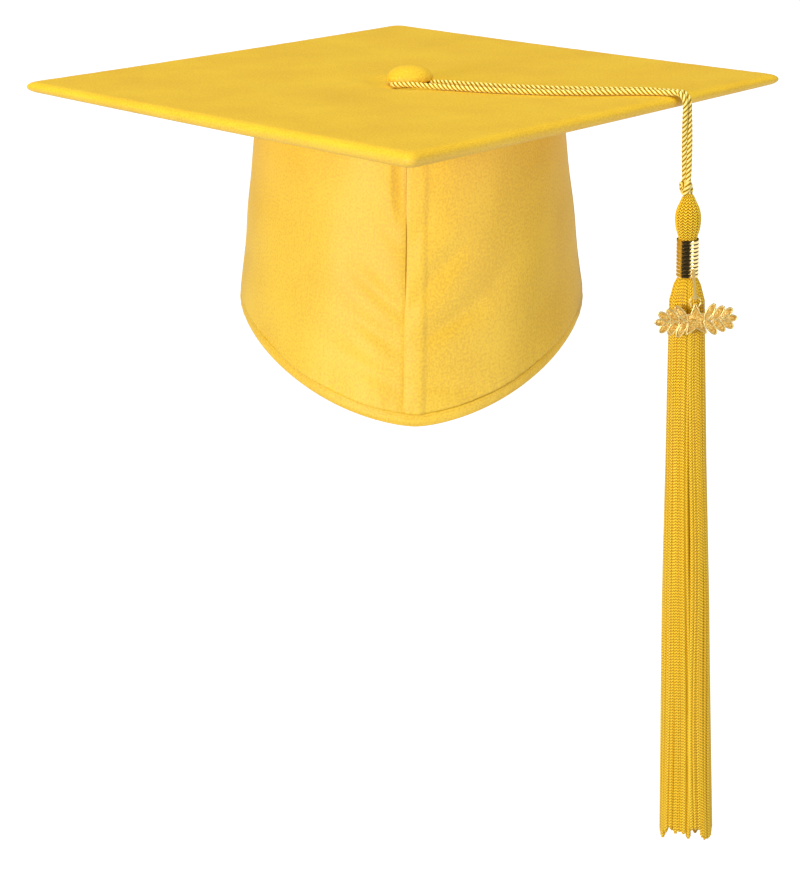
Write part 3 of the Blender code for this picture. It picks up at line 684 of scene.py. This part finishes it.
def build_top_cover(mat):
    """The top sheet: flat, pulled in at the button, and rolled over the edge to the underside."""
    count = 176
    last = math.radians(-65)
    line = np.linspace(-1, 1, count + 1)
    # More rows of faces go to the rolled edge than to the flat.
    line = np.sign(line) * (1 - (1 - np.abs(line)) ** 1.25)
    u, v = np.meshgrid(line, line)
    ring = np.maximum(np.maximum(np.abs(u), np.abs(v)), 1e-9)
    roll_length = EDGE_ROLL * (math.pi / 2 - last)
    flat = BOARD_SIDE_HALF - EDGE_ROLL
    travel = ring * (flat + roll_length)
    rolled = np.maximum(travel - flat, 0) / EDGE_ROLL
    height = math.pi / 2 - rolled
    reach = np.where(travel < flat, travel, flat + EDGE_ROLL * np.cos(height))
    x, y = square_ring(u / ring, v / ring, reach, np.minimum(CORNER, reach * 0.5))
    middle = ring < 1e-6
    x, y = np.where(middle, BOARD_X, x), np.where(middle, 0, y)
    z = BOARD_MID + board_half(y) * np.where(travel < flat, 1, np.sin(height)) + board_warp(x, y)
    inside = np.clip((flat - travel) / 0.02, 0, 1)
    z = z - dimple(x, y) * (travel < flat) + inside * ripple(x, y, 4, 0.075, 0.00028)
    edge = np.exp(-(((travel - flat) / 0.004) ** 2))
    z = z + edge * ripple(x, y, 9, 0.011, 0.00010)
    obj = grid_object("board_cover_top", np.stack([x, y, z], -1), mat)
    return thicken(obj, CLOTH)


def board_slab(name, inset, low, high, hole, mat):
    """A sheet inside the board, between two heights, with a hole for the button's pin."""
    count = 160
    turn = 2 * math.pi * (np.arange(count) + 0.5) / count
    u, v = np.cos(turn - math.pi / 4), np.sin(turn - math.pi / 4)
    ring = np.maximum(np.abs(u), np.abs(v))
    half = BOARD_SIDE_HALF - inset
    out_x, out_y = square_ring(u / ring, v / ring, half, CORNER)
    in_x, in_y = hole * np.cos(turn), hole * np.sin(turn)
    share = np.linspace(0, 1, 26)[:, None]
    x, y = in_x + (out_x - in_x) * share, in_y + (out_y - in_y) * share
    faces = []
    for z in (high, low):
        level = BOARD_MID + z * board_half(y) / BOARD_HALF + board_warp(x, y)
        faces.append(np.stack([x, y, level], -1))
    points = np.concatenate([faces[0], faces[1][::-1]])
    return grid_object(name, points, mat, around=True, along=True)


def build_board(cloth):
    top = build_top_cover(cloth)
    bottom = board_slab("board_cover_bottom", 0.0030, -0.0027, -0.0023, PIN_HOLE, cloth)
    card = fibrous("card", (0.46, 0.38, 0.27), 700)
    core = board_slab("board_core_card", 0.0016, -0.0010, 0.0009, PIN_HOLE, card)
    fluff = fibrous("wadding", (0.92, 0.91, 0.87), 450)
    wadding = board_slab("board_wadding", 0.0032, 0.0012, 0.0019, WADDING_HOLE, fluff)
    settle(top, "cap", "satin_fabric", "board_top_cover")
    settle(bottom, "cap", "satin_fabric", "board_bottom_cover")
    settle(core, "cap", "board_card", "board_core")
    settle(wadding, "cap", "wadding", "board_padding")


# ---------------- button
def build_button(cloth):
    """A domed cover pulled over the shell, with small pleats where it is gathered under the rim."""
    low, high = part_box("button_cover")
    radius, shoulder = (high.x - low.x) / 2, low.z + 0.0006
    dome = high.z - shoulder
    count, rows = 96, 30
    turn = full_turn(count)
    height = np.linspace(math.pi / 2, -0.35, rows)[:, None]
    pleat = 0.00022 * np.exp(-(((height + 0.1) / 0.30) ** 2)) * np.sin(19 * turn + np.sin(3 * turn))
    reach = radius * np.cos(height) + pleat * (height < 0.9)
    lift = np.where(height > 0, dome * np.sin(height), 0.0016 * np.sin(height))
    x, y = reach * np.cos(turn), reach * np.sin(turn)
    z = shoulder + lift + 0 * turn
    under = radius * 0.72
    last_x, last_y = under * np.cos(turn), under * np.sin(turn)
    x, y = np.vstack([x, last_x]), np.vstack([y, last_y])
    z = np.vstack([z, np.full((1, count), low.z)])
    obj = grid_object("button_dome", np.stack([x, y, z], -1), cloth, around=True)
    thicken(obj, CLOTH)
    settle(obj, "cap", "satin_fabric", "button_cover")


# ---------------- skullcap
def edge_z(turn):
    """Height of the lower edge, by the angle round from the front."""
    turn = (turn + math.pi) % (2 * math.pi) - math.pi
    away = np.sqrt(turn * turn + 0.0036) - 0.06
    part = np.minimum(away / FRONT_SPREAD, 1)
    point = 0.5 * np.cos(part * math.pi / 2) ** 2 + 0.5 * (1 - part)
    rear = np.maximum(0, -np.cos(turn))
    return SIDE_EDGE_Z + (FRONT_EDGE_Z - SIDE_EDGE_Z) * point + (BACK_EDGE_Z - SIDE_EDGE_Z) * rear**2


def above_hem(turn):
    """Where a panel ends, just over the hem."""
    return edge_z(turn) + HEM + 0.00005


def half_width(z):
    return CROWN_HALF_WIDTH + FLARE_WIDTH * (PANEL_TOP - z)


def cap_points(turn, z, inward):
    wide = half_width(z) - inward
    long = CROWN_HALF_LENGTH + FLARE_LENGTH * (PANEL_TOP - z) - inward
    return np.stack(np.broadcast_arrays(wide * np.sin(turn), -long * np.cos(turn), z), -1)


def seam_x(z):
    return SEAM_AT_TOP + (SEAM_AT_FOOT - SEAM_AT_TOP) * np.clip(z / SEAM_FOOT_Z, 0, 1)


# Puckers in the panels: from (x, z) to (x, z) in millimetres from the seam, then width and depth.
PUCKERS = [
    ((11, -34), (2.0, -50), 3.4, 0.7),
    ((24, -50), (7, -68), 4.8, 2.0),
    ((29, -76), (7, -89), 4.6, 1.9),
    ((9, -66), (1.5, -79), 3.0, 0.7),
    ((31, -112), (3.0, -107), 3.2, 0.8),
    ((-14, -34), (-1.5, -50), 4.0, 0.8),
    ((-22, -60), (-1.5, -77), 4.2, 1.6),
    ((-24, -78), (-2, -93), 4.4, 1.6),
    ((-28, -95), (-1.5, -110), 4.6, 1.4),
    ((44, -60), (26, -84), 6.5, 1.2),
]


def pucker_depth(x, z):
    total = np.zeros_like(x)
    for (x0, z0), (x1, z1), width, depth in PUCKERS:
        run = np.array([x1 - x0, z1 - z0]) / 1000
        part = np.clip(((x - x0 / 1000) * run[0] + (z - z0 / 1000) * run[1]) / (run @ run), 0, 1)
        away = np.hypot(x - x0 / 1000 - part * run[0], z - z0 / 1000 - part * run[1])
        fade = np.sin(math.pi * (0.12 + 0.76 * part)) ** 0.8
        total += depth / 1000 * fade * np.exp(-((away / (width / 1000)) ** 2))
    return total


def panel_relief(side, turn, z):
    """How far the sewn panel stands out from its plain shape."""
    from_seam = half_width(z) * np.sin(turn) - seam_x(z)
    in_front = np.cos(turn) > 0
    near = np.abs(from_seam)
    relief = -0.00035 * np.exp(-((near / 0.0010) ** 2)) * in_front
    if side > 0:
        # The seam allowance, pressed to this side, lifts the cloth most at its own free edge.
        strip = 1 / (1 + np.exp((near - STRIP) / 0.00055))
        relief = relief + STRIP_LIFT * near / STRIP * strip * in_front
    else:
        # A loose pleat beside the seam, below the board's corner, with the cloth full to its left.
        fullness = np.clip((z - PLEAT_END) / PLEAT_FADE, 0, 1)
        fullness = fullness * fullness * (3 - 2 * fullness)
        wide = 0.0045 + 0.0025 * fullness
        hollow = np.sin(math.pi * (0.25 + 0.75 * np.clip(near / wide, 0, 1)))
        beside = np.exp(-(((near - wide) / 0.012) ** 2))
        relief = relief + (PLEAT_SWELL * beside * (1 - hollow) - PLEAT_HOLLOW * hollow) * fullness * in_front
    relief = relief - np.where(in_front, pucker_depth(from_seam, z), 0)
    shoulder = np.exp(-(((PANEL_TOP - z) / 0.0065) ** 2))
    relief = relief - SHOULDER_PULL * shoulder * np.abs(np.sin(turn)) ** 2
    relief = relief + ripple(from_seam * 1.3, z, 21 + side, 0.034, 0.0009)
    over = z - edge_z(turn) - HEM
    relief = relief + 0.00012 * np.exp(-over / 0.004) * np.sin(turn * 92 + np.sin(turn * 17))
    behind = np.clip((np.abs(turn) - CASING_START) / 0.25, 0, 1)
    return relief + behind * GATHER_DEPTH * gathers(turn) * np.exp(-over / 0.013)


def panel_turns(side, z, count):
    """Angles across a panel from the front seam to the back one, closer together at the front."""
    share = np.linspace(0, 1, count) ** 1.35
    start = np.arcsin(seam_x(z) / half_width(z)) + side * 0.0003
    return start + (side * (math.pi - 0.0012) - start) * share[None, :]


def gathers(turn):
    """Where the elastic's gathers rise, from 0 to 1."""
    return 0.5 + 0.5 * np.sin(turn * 74 + 1.5 * np.sin(turn * 11))


def build_panel(side, name, mat):
    rows, columns = 110, 300
    down = np.linspace(0, 1, rows)[:, None]
    turn = panel_turns(side, np.full((rows, 1), -0.05), columns)
    foot = above_hem(turn)
    top = PANEL_TOP + board_warp(*np.moveaxis(cap_points(turn, PANEL_TOP, 0)[..., :2], -1, 0))
    z = top + (foot - top) * down
    turn = panel_turns(side, z[:, :1], columns)
    points = cap_points(turn, z, -panel_relief(side, turn, z))
    if side < 0:
        points = points[:, ::-1]
    return thicken(grid_object(name, points, mat), PANEL - 0.00012)


def sleeve(name, inward, low, high, start, end, mat, count, rows, rough, seed=3, side=0):
    """A strip of cloth that follows the wall. With a side given, it gives way where that panel dents in."""
    turn = np.linspace(start, end, count)[None, :]
    z = high(turn) + (low(turn) - high(turn)) * np.linspace(0, 1, rows)[:, None]
    relief = ripple(turn * 0.08, z, seed, 0.020, rough)
    if side:
        relief = relief + np.minimum(panel_relief(side, turn + 0 * z, z), 0)
    points = cap_points(turn + 0 * z, z, inward - relief)
    return grid_object(name, points, mat)


def hem_section():
    """The hem's section, (inward, height): down the outer face, round the fold, up inside, and back."""
    inside = LINING_IN + LINING
    middle = inside / 2
    lip, start = -0.00036, HEM - 0.0003
    outer = [(0.0, HEM + 0.0001), (-0.00022, HEM), (lip, start)]
    for k in range(1, 9):
        outer.append((lip - 0.00020 * math.sin(math.pi * k / 9), start - (start - middle) * k / 9))
    outer.append((0.0, middle))
    turns = [math.pi * k / 8 for k in range(1, 8)]
    fold = [(middle - middle * math.cos(turn), middle - middle * math.sin(turn)) for turn in turns]
    inner = [(inside, middle + (HEM - middle) * k / 4) for k in range(5)]
    back = [(LINING_IN, HEM), (LINING_IN, middle), (PANEL, middle), (PANEL, HEM)]
    return outer + fold + inner + back


def build_channel(name, start, end, gathered, mat):
    """The turned hem, or the elastic's casing where it is gathered."""
    count = 520 if gathered else 420
    turn = np.linspace(start, end, count)[None, :]
    section = np.array(hem_section())
    inward, rise = section[:, :1], section[:, 1:]
    outside = (inward < PANEL / 2).astype(float)
    puff = 0.00008 * np.sin(turn * 61 + np.sin(turn * 13))
    if gathered:
        puff = GATHER_DEPTH * gathers(turn)
    inward = inward - puff * outside * np.sin(math.pi * np.clip(rise / HEM, 0.12, 0.9))
    points = cap_points(turn + 0 * rise, edge_z(turn) + rise, inward)
    return grid_object(name, points.transpose(1, 0, 2)[:, ::-1], mat, around=True)


def build_stitches(name, start, end, height, proud, mat):
    """A row of stitches on the wall, each a short bowed thread."""
    pitch, length, thick, mean_radius = 0.0026, 0.0019, 0.00011, 0.085
    count = int((end - start) * mean_radius / pitch)
    pieces = []
    for k in range(count):
        middle = start + (end - start) * (k + 0.5) / count
        reach = length / 2 / mean_radius
        turn = np.linspace(middle - reach, middle + reach, 7)
        bow = proud + thick * 0.9 * np.sin(np.linspace(0, math.pi, 7)) - thick * 0.4
        pieces.append(cap_points(turn, edge_z(turn) + height, -bow))
    return joined_tubes(name, pieces, thick, mat)


def joined_tubes(name, paths, thick, mat):
    """Many short tubes as one piece."""
    made = []
    for k, path in enumerate(paths):
        ends = np.sqrt(np.clip(np.sin(np.linspace(0.15, math.pi - 0.15, len(path))), 0, 1))
        made.append(tube_object(f"{name}_{k}", path, (thick * ends)[:, None], mat, 6))
    return join(name, made)


def join(name, objects):
    first = objects[0]
    with bpy.context.temp_override(active_object=first, selected_editable_objects=objects, object=first):
        bpy.ops.object.join()
    first.name = first.data.name = name
    return first


def cut_of(start, end, low, high):
    """The flat size and area of a strip of the plain wall, as a pattern for it would be drawn."""
    turn = np.linspace(start, end, 400)
    low, high = low(turn), high(turn)
    middle = travelled(cap_points(turn, (low + high) / 2, 0))
    tall = np.hypot(high - low, FLARE_WIDTH * (high - low))
    area = float(np.sum(np.diff(middle) * (tall[1:] + tall[:-1]) / 2))
    return (float(middle[-1]), float(tall.max())), area


def declare_cloth(obj, node, slot):
    """Rides on the cap in place of a CAD node."""
    settle(obj, "cap", slot, node)


def build_sides(cloth):
    cut = cut_of(0, math.pi, above_hem, level(PANEL_TOP))
    for side, name in SIDES:
        obj = build_panel(side, f"skullcap_side_{name}", cloth)
        declare_cloth(obj, f"side_panel_{name}", "satin_fabric")


def build_hem(cloth):
    """The hem and the elastic's casing, each a strip folded in two along its length, and the stitches."""
    start, end = CASING_START - 0.002, CASING_START + 0.002
    hem = build_channel("skullcap_hem", -start, start, False, cloth)
    casing = build_channel("skullcap_elastic_casing", end, 2 * math.pi - end, True, cloth)
    for obj, node, first, last in (
        (hem, "hem_band", 0, CASING_START),
        (casing, "elastic_casing", CASING_START, math.pi),
    ):
        (wide, _), _ = cut_of(first, last, edge_z, above_hem)
        declare_cloth(obj, node, "satin_fabric")
    thread = yarn("sewing_thread", (0.92, 0.56, 0.02), (0.80, 0.44, 0.01), (0.98, 0.66, 0.06))
    reach = CASING_START - 0.01
    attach(build_stitches("hem_topstitching", -reach, reach, HEM - 0.0011, 0.00040, thread), "cap")


def build_side_linings(lining):
    cut = cut_of(0, math.pi, above_hem, level(LINING_TOP))
    for side, name in SIDES:
        start, end = sorted((side * 0.004, side * (math.pi - 0.004)))
        obj = sleeve(
            f"skullcap_lining_{name}",
            LINING_IN + 0.00005,
            above_hem,
            level(LINING_TOP),
            start,
            end,
            lining,
            count=300,
            rows=90,
            rough=0.00012,
            seed=30 + side,
            side=side,
        )
        thicken(obj, LINING - 0.0001)
        declare_cloth(obj, f"side_lining_{name}", "lining_fabric")


def build_crown_lining(lining):
    """The oval lining of the crown, slightly slack."""
    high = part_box("crown_lining")[1]
    rings, count = 40, 160
    share = np.linspace(0.004, 1, rings)[:, None]
    turn = full_turn(count)[None, :]
    x, y = high.x * share * np.sin(turn), -high.y * share * np.cos(turn)
    slack = ripple(x, y, 17, 0.030, 0.00012) * (1 - share**4)
    points = np.stack([x, y, high.z - 0.00012 + slack], -1)
    obj = thicken(grid_object("crown_lining_cloth", points, lining, around=True), 0.0002)
    declare_cloth(obj, "crown_lining", "lining_fabric")


def build_label():
    """A blank woven label inside the back."""
    low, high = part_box("size_label")
    obj = sleeve(
        "blank_size_label",
        LINING_IN + LINING + GAP + 0.0001,
        level(low.z),
        level(high.z),
        math.pi - LABEL_TURN,
        math.pi + LABEL_TURN,
        woven("label_tape", (0.94, 0.94, 0.91), 2500),
        count=40,
        rows=20,
        rough=0.00008,
    )
    thicken(obj, 0.0002)
    declare_cloth(obj, "size_label", "label_tape")


def build_skullcap(cloth, lining):
    build_sides(cloth)
    build_hem(cloth)
    build_side_linings(lining)
    build_crown_lining(lining)
    build_label()


# ---------------- tassel
def chain_relief(distance, turn, columns, pitch, slant):
    """V stitches in columns: ridges that slant away from each column's middle groove."""
    local = (turn * columns / (2 * math.pi)) % 1 - 0.5
    phase = distance / pitch + slant * np.abs(local) * 2
    ridge = 0.5 + 0.5 * np.cos(2 * math.pi * phase)
    edge = np.exp(-(((np.abs(local) - 0.5) / 0.10) ** 2))
    # This value also colours the yarn: painted shade in the grooves and along each column's edges, painted
    # highlight on the ridges.
    return ridge * (1 - 0.7 * edge)


def build_knot(mat):
    """A small overhand knot of the same cord."""
    middle, tall = (knot_low.z + knot_high.z) / 2, knot_high.z - knot_low.z
    turn = np.linspace(0, 2 * math.pi, 220)
    reach, thick = 0.00070, 0.00132
    x = HANG.x + KNOT_LEAN + reach * (np.sin(turn) + 2 * np.sin(2 * turn))
    y = HANG.y + reach * (np.cos(turn) - 2 * np.cos(2 * turn))
    path = np.stack([x, y, middle - tall * 0.34 * np.sin(3 * turn)], -1)
    radius, relief = three_ply(travelled(path), 20, thick)
    obj = tube_object("tassel_knot", path, radius, mat, 20, relief)
    settle(obj, "knot", "cord_yarn", "cord_knot")


def about_tassel(reach, turn, z):
    """Points round the tassel's axis."""
    return np.stack(np.broadcast_arrays(HANG.x + reach * np.cos(turn), HANG.y + reach * np.sin(turn), z), -1)


# The head's half-width, as a share of its widest, by the share of the way from its top to the band.
HEAD_PROFILE = [(0, 0.26), (0.06, 0.44), (0.21, 0.69), (0.33, 0.88)]
HEAD_PROFILE += [(0.52, 1.0), (0.74, 0.93), (0.89, 0.78), (1, 0.66)]


def build_head(mat):
    """The egg of folded strands above the band: columns of V stitches from top to bottom."""
    top, foot = knot_low.z + 0.0008, band_high.z - 0.0006
    wide = (head_high.x - head_low.x) / 2
    rows, columns, count = 200, 15, 15 * 16
    stations = [Vector((share, width, 0)) for share, width in HEAD_PROFILE]
    curve = np.array(smooth_route(stations, 0.01))
    share = np.linspace(0, 1, rows)[:, None]
    turn = full_turn(count)[None, :]
    profile = wide * np.interp(share, curve[:, 0], curve[:, 1])
    z = top + (foot - top) * share
    relief = chain_relief((top - z) + 0 * turn, turn, columns, STITCH * 0.95, 0.8)
    reach = profile * (1 - 0.10 * (1 - relief))
    points = about_tassel(reach, turn, z)
    obj = grid_object("tassel_head_plait", points, mat, around=True, relief=relief)
    thicken(obj, 0.0006, 1.0)
    settle(obj, "tassel", "tassel_yarn", "tassel_head")


def build_band(mat):
    """A metal band rolled into round ribs, with a lip at each end."""
    ribs, count, per_rib = 10, 96, 12
    outer = (band_high.x - band_low.x) / 2
    tall = band_high.z - band_low.z
    steps = np.arange(ribs * per_rib + 1) / per_rib
    reach = outer - 0.0002 * (1 - np.abs(np.sin(math.pi * steps)) ** 0.8)
    z = band_high.z - tall * steps / ribs
    bore = outer - 0.0009
    reach = np.concatenate([[bore], reach, [bore]])[:, None]
    z = np.concatenate([[band_high.z], z, [band_low.z]])[:, None]
    turn = full_turn(count)[None, :]
    points = about_tassel(reach, turn, z)
    obj = grid_object("tassel_band_ribbed", points, mat, around=True, along=True)
    unlight(obj, "key_light")
    settle(obj, "tassel", "gold_plate", "tassel_band")


def skirt_half_width(z):
    stations = [(SKIRT_END, 0.0124), (-0.2230, 0.0109), (-0.1570, 0.0093), (-0.0830, 0.0080)]
    stations += [(-0.0760, 0.0062), (band_low.z, 0.0042), (-0.0560, 0.0041)]
    heights, widths = zip(*stations)
    return np.interp(z, heights, widths)


def strand_object(name, turn, layer, bend, chance, mat, fine):
    """One chainette strand from inside the band to the skirt's foot."""
    end = SKIRT_END + chance.uniform(0.0, 0.0065)
    step = STITCH / 6 if fine else STITCH / 3
    top = band_low.z + 0.004
    z = np.arange(top, end, -step)
    below = np.clip((band_low.z - z) / (band_low.z - SKIRT_END), 0, 1)
    depth = 1 - (1 - SKIRT_DEPTH) * np.clip((-0.0762 - z) / 0.08, 0, 1)
    width = skirt_half_width(z)
    thick = np.clip(width * (1 + depth) / 2 * math.pi / 36 * 1.32, 0.00038, 0.00128)
    own = chance.uniform(0.0, 0.00022) * np.sin(below * chance.uniform(8, 14) + chance.uniform(0, 6))
    shared = 0.0005 * np.sin(below * bend[0] + bend[1])
    angle = turn + (own + shared) * np.clip(below * 6, 0, 1) / 0.008
    reach = (width - thick) * layer + chance.uniform(-0.0003, 0.0002) * np.clip(below * 8, 0, 1)
    x = HANG.x + reach * np.cos(angle) + SKIRT_LEAN * below**1.4
    y = HANG.y + reach * depth * np.sin(angle)
    path = np.stack([x, y, z], -1)
    around = 16 if fine else 8
    # Turned so that the middle of a column of V stitches faces outward.
    spin = full_turn(around)[None, :] - turn + math.pi / 4
    relief = chain_relief((top - z)[:, None] + chance.uniform(0, STITCH), spin, 4, STITCH, 0.75)
    radius = thick[:, None] * (0.76 + 0.30 * relief)
    fray = np.clip((z - end) / 0.0015, 0.6, 1)[:, None]
    return tube_object(name, path, radius * fray, mat, around, relief)


def build_skirt(mat):
    """Outer strands in groups of four round the skirt, and plainer ones in groups of six inside."""
    chance = random.Random(11)
    total = len(OUTER_BUNDLES) * STRANDS_PER_BUNDLE
    number = 0
    for name in OUTER_BUNDLES:
        made = []
        bend = chance.uniform(4, 9), chance.uniform(0, 6)
        for _ in range(STRANDS_PER_BUNDLE):
            turn = 2 * math.pi * number / total + chance.uniform(-0.02, 0.02)
            made.append(strand_object(f"strand_{number}", turn, 1.0, bend, chance, mat, True))
            number += 1
        settle(join(name.replace("bundle", "group"), made), "tassel", "tassel_yarn", name)
    for k, name in enumerate(INNER_BUNDLES):
        made = []
        for i in range(6):
            turn = 2 * math.pi * (k * 6 + i) / 18
            layer = 0.80 if i % 2 else 0.45
            made.append(strand_object(f"inner_{k}_{i}", turn, layer, (5, k), chance, mat, False))
        settle(join(name.replace("bundle", "group"), made), "tassel", "tassel_yarn", name)


# ---------------- charm
def lens(x, z, length, width, angle):
    turn = full_turn(18)
    u, v = length / 2 * np.cos(turn), width / 2 * np.sin(turn)
    c, s = math.cos(angle), math.sin(angle)
    return np.stack([x + u * c - v * s, z + u * s + v * c], -1)


def star(x, z, outer, inner):
    turn = math.pi / 2 + math.pi * np.arange(10) / 5
    reach = np.where(np.arange(10) % 2 == 0, outer, inner)
    return np.stack([x + reach * np.cos(turn), z + reach * np.sin(turn)], -1)


def charm_outlines(x, middle_z):
    """The charm's shapes: a star, and each side a stem with its leaves."""
    shapes = [star(x, middle_z, STAR_REACH, STAR_REACH * 0.45)]
    for side in (-1, 1):
        tip = x + side * CHARM_HALF_WIDTH
        end = tip - side * 0.004
        stem = [(x, -0.0006), (end, -0.0005), (end, 0.0005), (x, 0.0006)]
        shapes.append(np.array([(across, middle_z + up) for across, up in stem]))
        shapes.append(lens(tip - side * 0.0031, middle_z, 0.0062, 0.0030, 0))
        for k in range(3):
            length, root = 0.0082 - 0.0009 * k, x + side * (0.0040 + 0.0037 * k)
            lean = math.radians(56 - 6 * k)
            for lift in (-1, 1):
                leaf_x = root + side * length / 2 * math.cos(lean)
                leaf_z = middle_z + lift * length / 2 * math.sin(lean)
                shapes.append(lens(leaf_x, leaf_z, length, 0.0031, side * lift * lean))
    return shapes


def upright(outline, y):
    """An outline of (x, z) points, stood in the plane at y."""
    return np.stack([outline[:, 0], np.full(len(outline), y), outline[:, 1]], -1)


def outline_plate(name, outline, front, back, mat):
    """A flat plate with the outline's shape."""
    middle = outline.mean(axis=0)
    inner = middle + (outline - middle) * 0.02
    layers = [(inner, front), (outline, front), (outline, back), (inner, back)]
    points = np.stack([upright(edge, y) for edge, y in layers])
    return grid_object(name, points[:, ::-1], mat, around=True)


def outline_rim(name, outline, y, thick, mat):
    """A raised wire round an outline, closed on itself."""
    closed = np.vstack([outline, outline[:1]])
    fine = []
    for a, b in zip(closed, closed[1:]):
        count = max(2, int(np.linalg.norm(b - a) / 0.0005))
        fine += [a + (b - a) * k / count for k in range(count)]
    fine = np.array(fine + [fine[0], fine[1]])
    return tube_object(name, upright(fine, y), thick, mat, 8)


def build_charm(gilt, ground):
    """The gilt charm: a glittering ground inside raised bright rims, hung on its ring."""
    x, y = CHARM_AT.x, CHARM_AT.y
    ring_z = CHARM_AT.z - RING_RADIUS
    shapes = charm_outlines(x, ring_z - CHARM_DROP)
    front, back = y - CHARM_THICK * 0.36, y + CHARM_THICK * 0.45
    plates, rims = [], []
    for k, outline in enumerate(shapes):
        # Each plate is a hair further forward than the last, so that no two faces share a plane.
        plates.append(outline_plate(f"plate_{k}", outline, front - 0.00001 * k, back, ground))
        if k not in STEMS:
            rims.append(outline_rim(f"rim_{k}", outline, front - 0.00012, 0.00036, gilt))
    turn = np.linspace(0, 2 * math.pi, 40)
    path = np.stack([x + RING_RADIUS * np.cos(turn), y + 0 * turn, ring_z + RING_RADIUS * np.sin(turn)], -1)
    ring = tube_object("ring_wire", path, RING_WIRE, gilt, 10)
    tilt = Matrix.Translation(CHARM_AT) @ Matrix.Rotation(-CHARM_TILT, 4, "Y") @ Matrix.Translation(-CHARM_AT)
    body = join("charm_ground", plates)
    bright = join("charm_rims", rims + [ring])
    for obj in (body, bright):
        obj.data.transform(tilt)
        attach(obj, "charm")
    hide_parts("charm")


# ---------------- inner parts kept from the CAD
def dress(mat, *names):
    """Gives CAD nodes that keep their shape a finished material."""
    for name in names:
        slots = frame["nodes"][name].data.materials
        slots.clear()
        slots.append(mat)


def dress_inner_parts(cloth, gilt):
    dress(cloth, "front_seam_allowance", "back_seam_allowance", "crown_panel")
    dress(plated("steel", (0.62, 0.63, 0.65), 0.35), "button_shell", "button_back_plate", "pin_washer")
    dress(plated("brassed_steel", (0.70, 0.62, 0.42), 0.32), "button_pin")
    dress(woven("elastic_webbing", (0.90, 0.89, 0.86), 1800), "elastic_band")
    dress(woven("core_yarn", (0.80, 0.48, 0.04), 2200), "head_core")
    dress(gilt, "band_hook")


def main():
    build_camera()
    build_studio()
    build_screen()
    # The cord's dark stop is painted shade between the plies, its cream light stop a painted highlight.
    cord = yarn("cord_yarn", (0.96, 0.60, 0.014), (0.24, 0.11, 0.0), (1.0, 0.88, 0.32))
    build_cord(cord)
    cloth = satin("satin_fabric")
    object_cloth = satin("satin_inside", "Object")
    lining = woven("lining_fabric", (0.86, 0.58, 0.09), 1500)
    # The tassel's dark stop is painted shade in the stitches' grooves, its light stop a painted highlight.
    tassel = yarn("tassel_yarn", (1.0, 0.54, 0.002), (0.20, 0.07, 0.0), (1.0, 0.80, 0.06))
    gilt = plated("gold_plate", (0.98, 0.74, 0.32), 0.16)
    build_board(cloth)
    build_button(cloth)
    build_skullcap(cloth, lining)
    build_knot(cord)
    build_head(tassel)
    build_band(gilt)
    build_skirt(tassel)
    soft_gilt = plated("charm_gilt", (1.0, 0.74, 0.28), 0.30, 0.55)
    build_charm(soft_gilt, glitter("charm_ground"))
    dress_inner_parts(object_cloth, soft_gilt)


main()
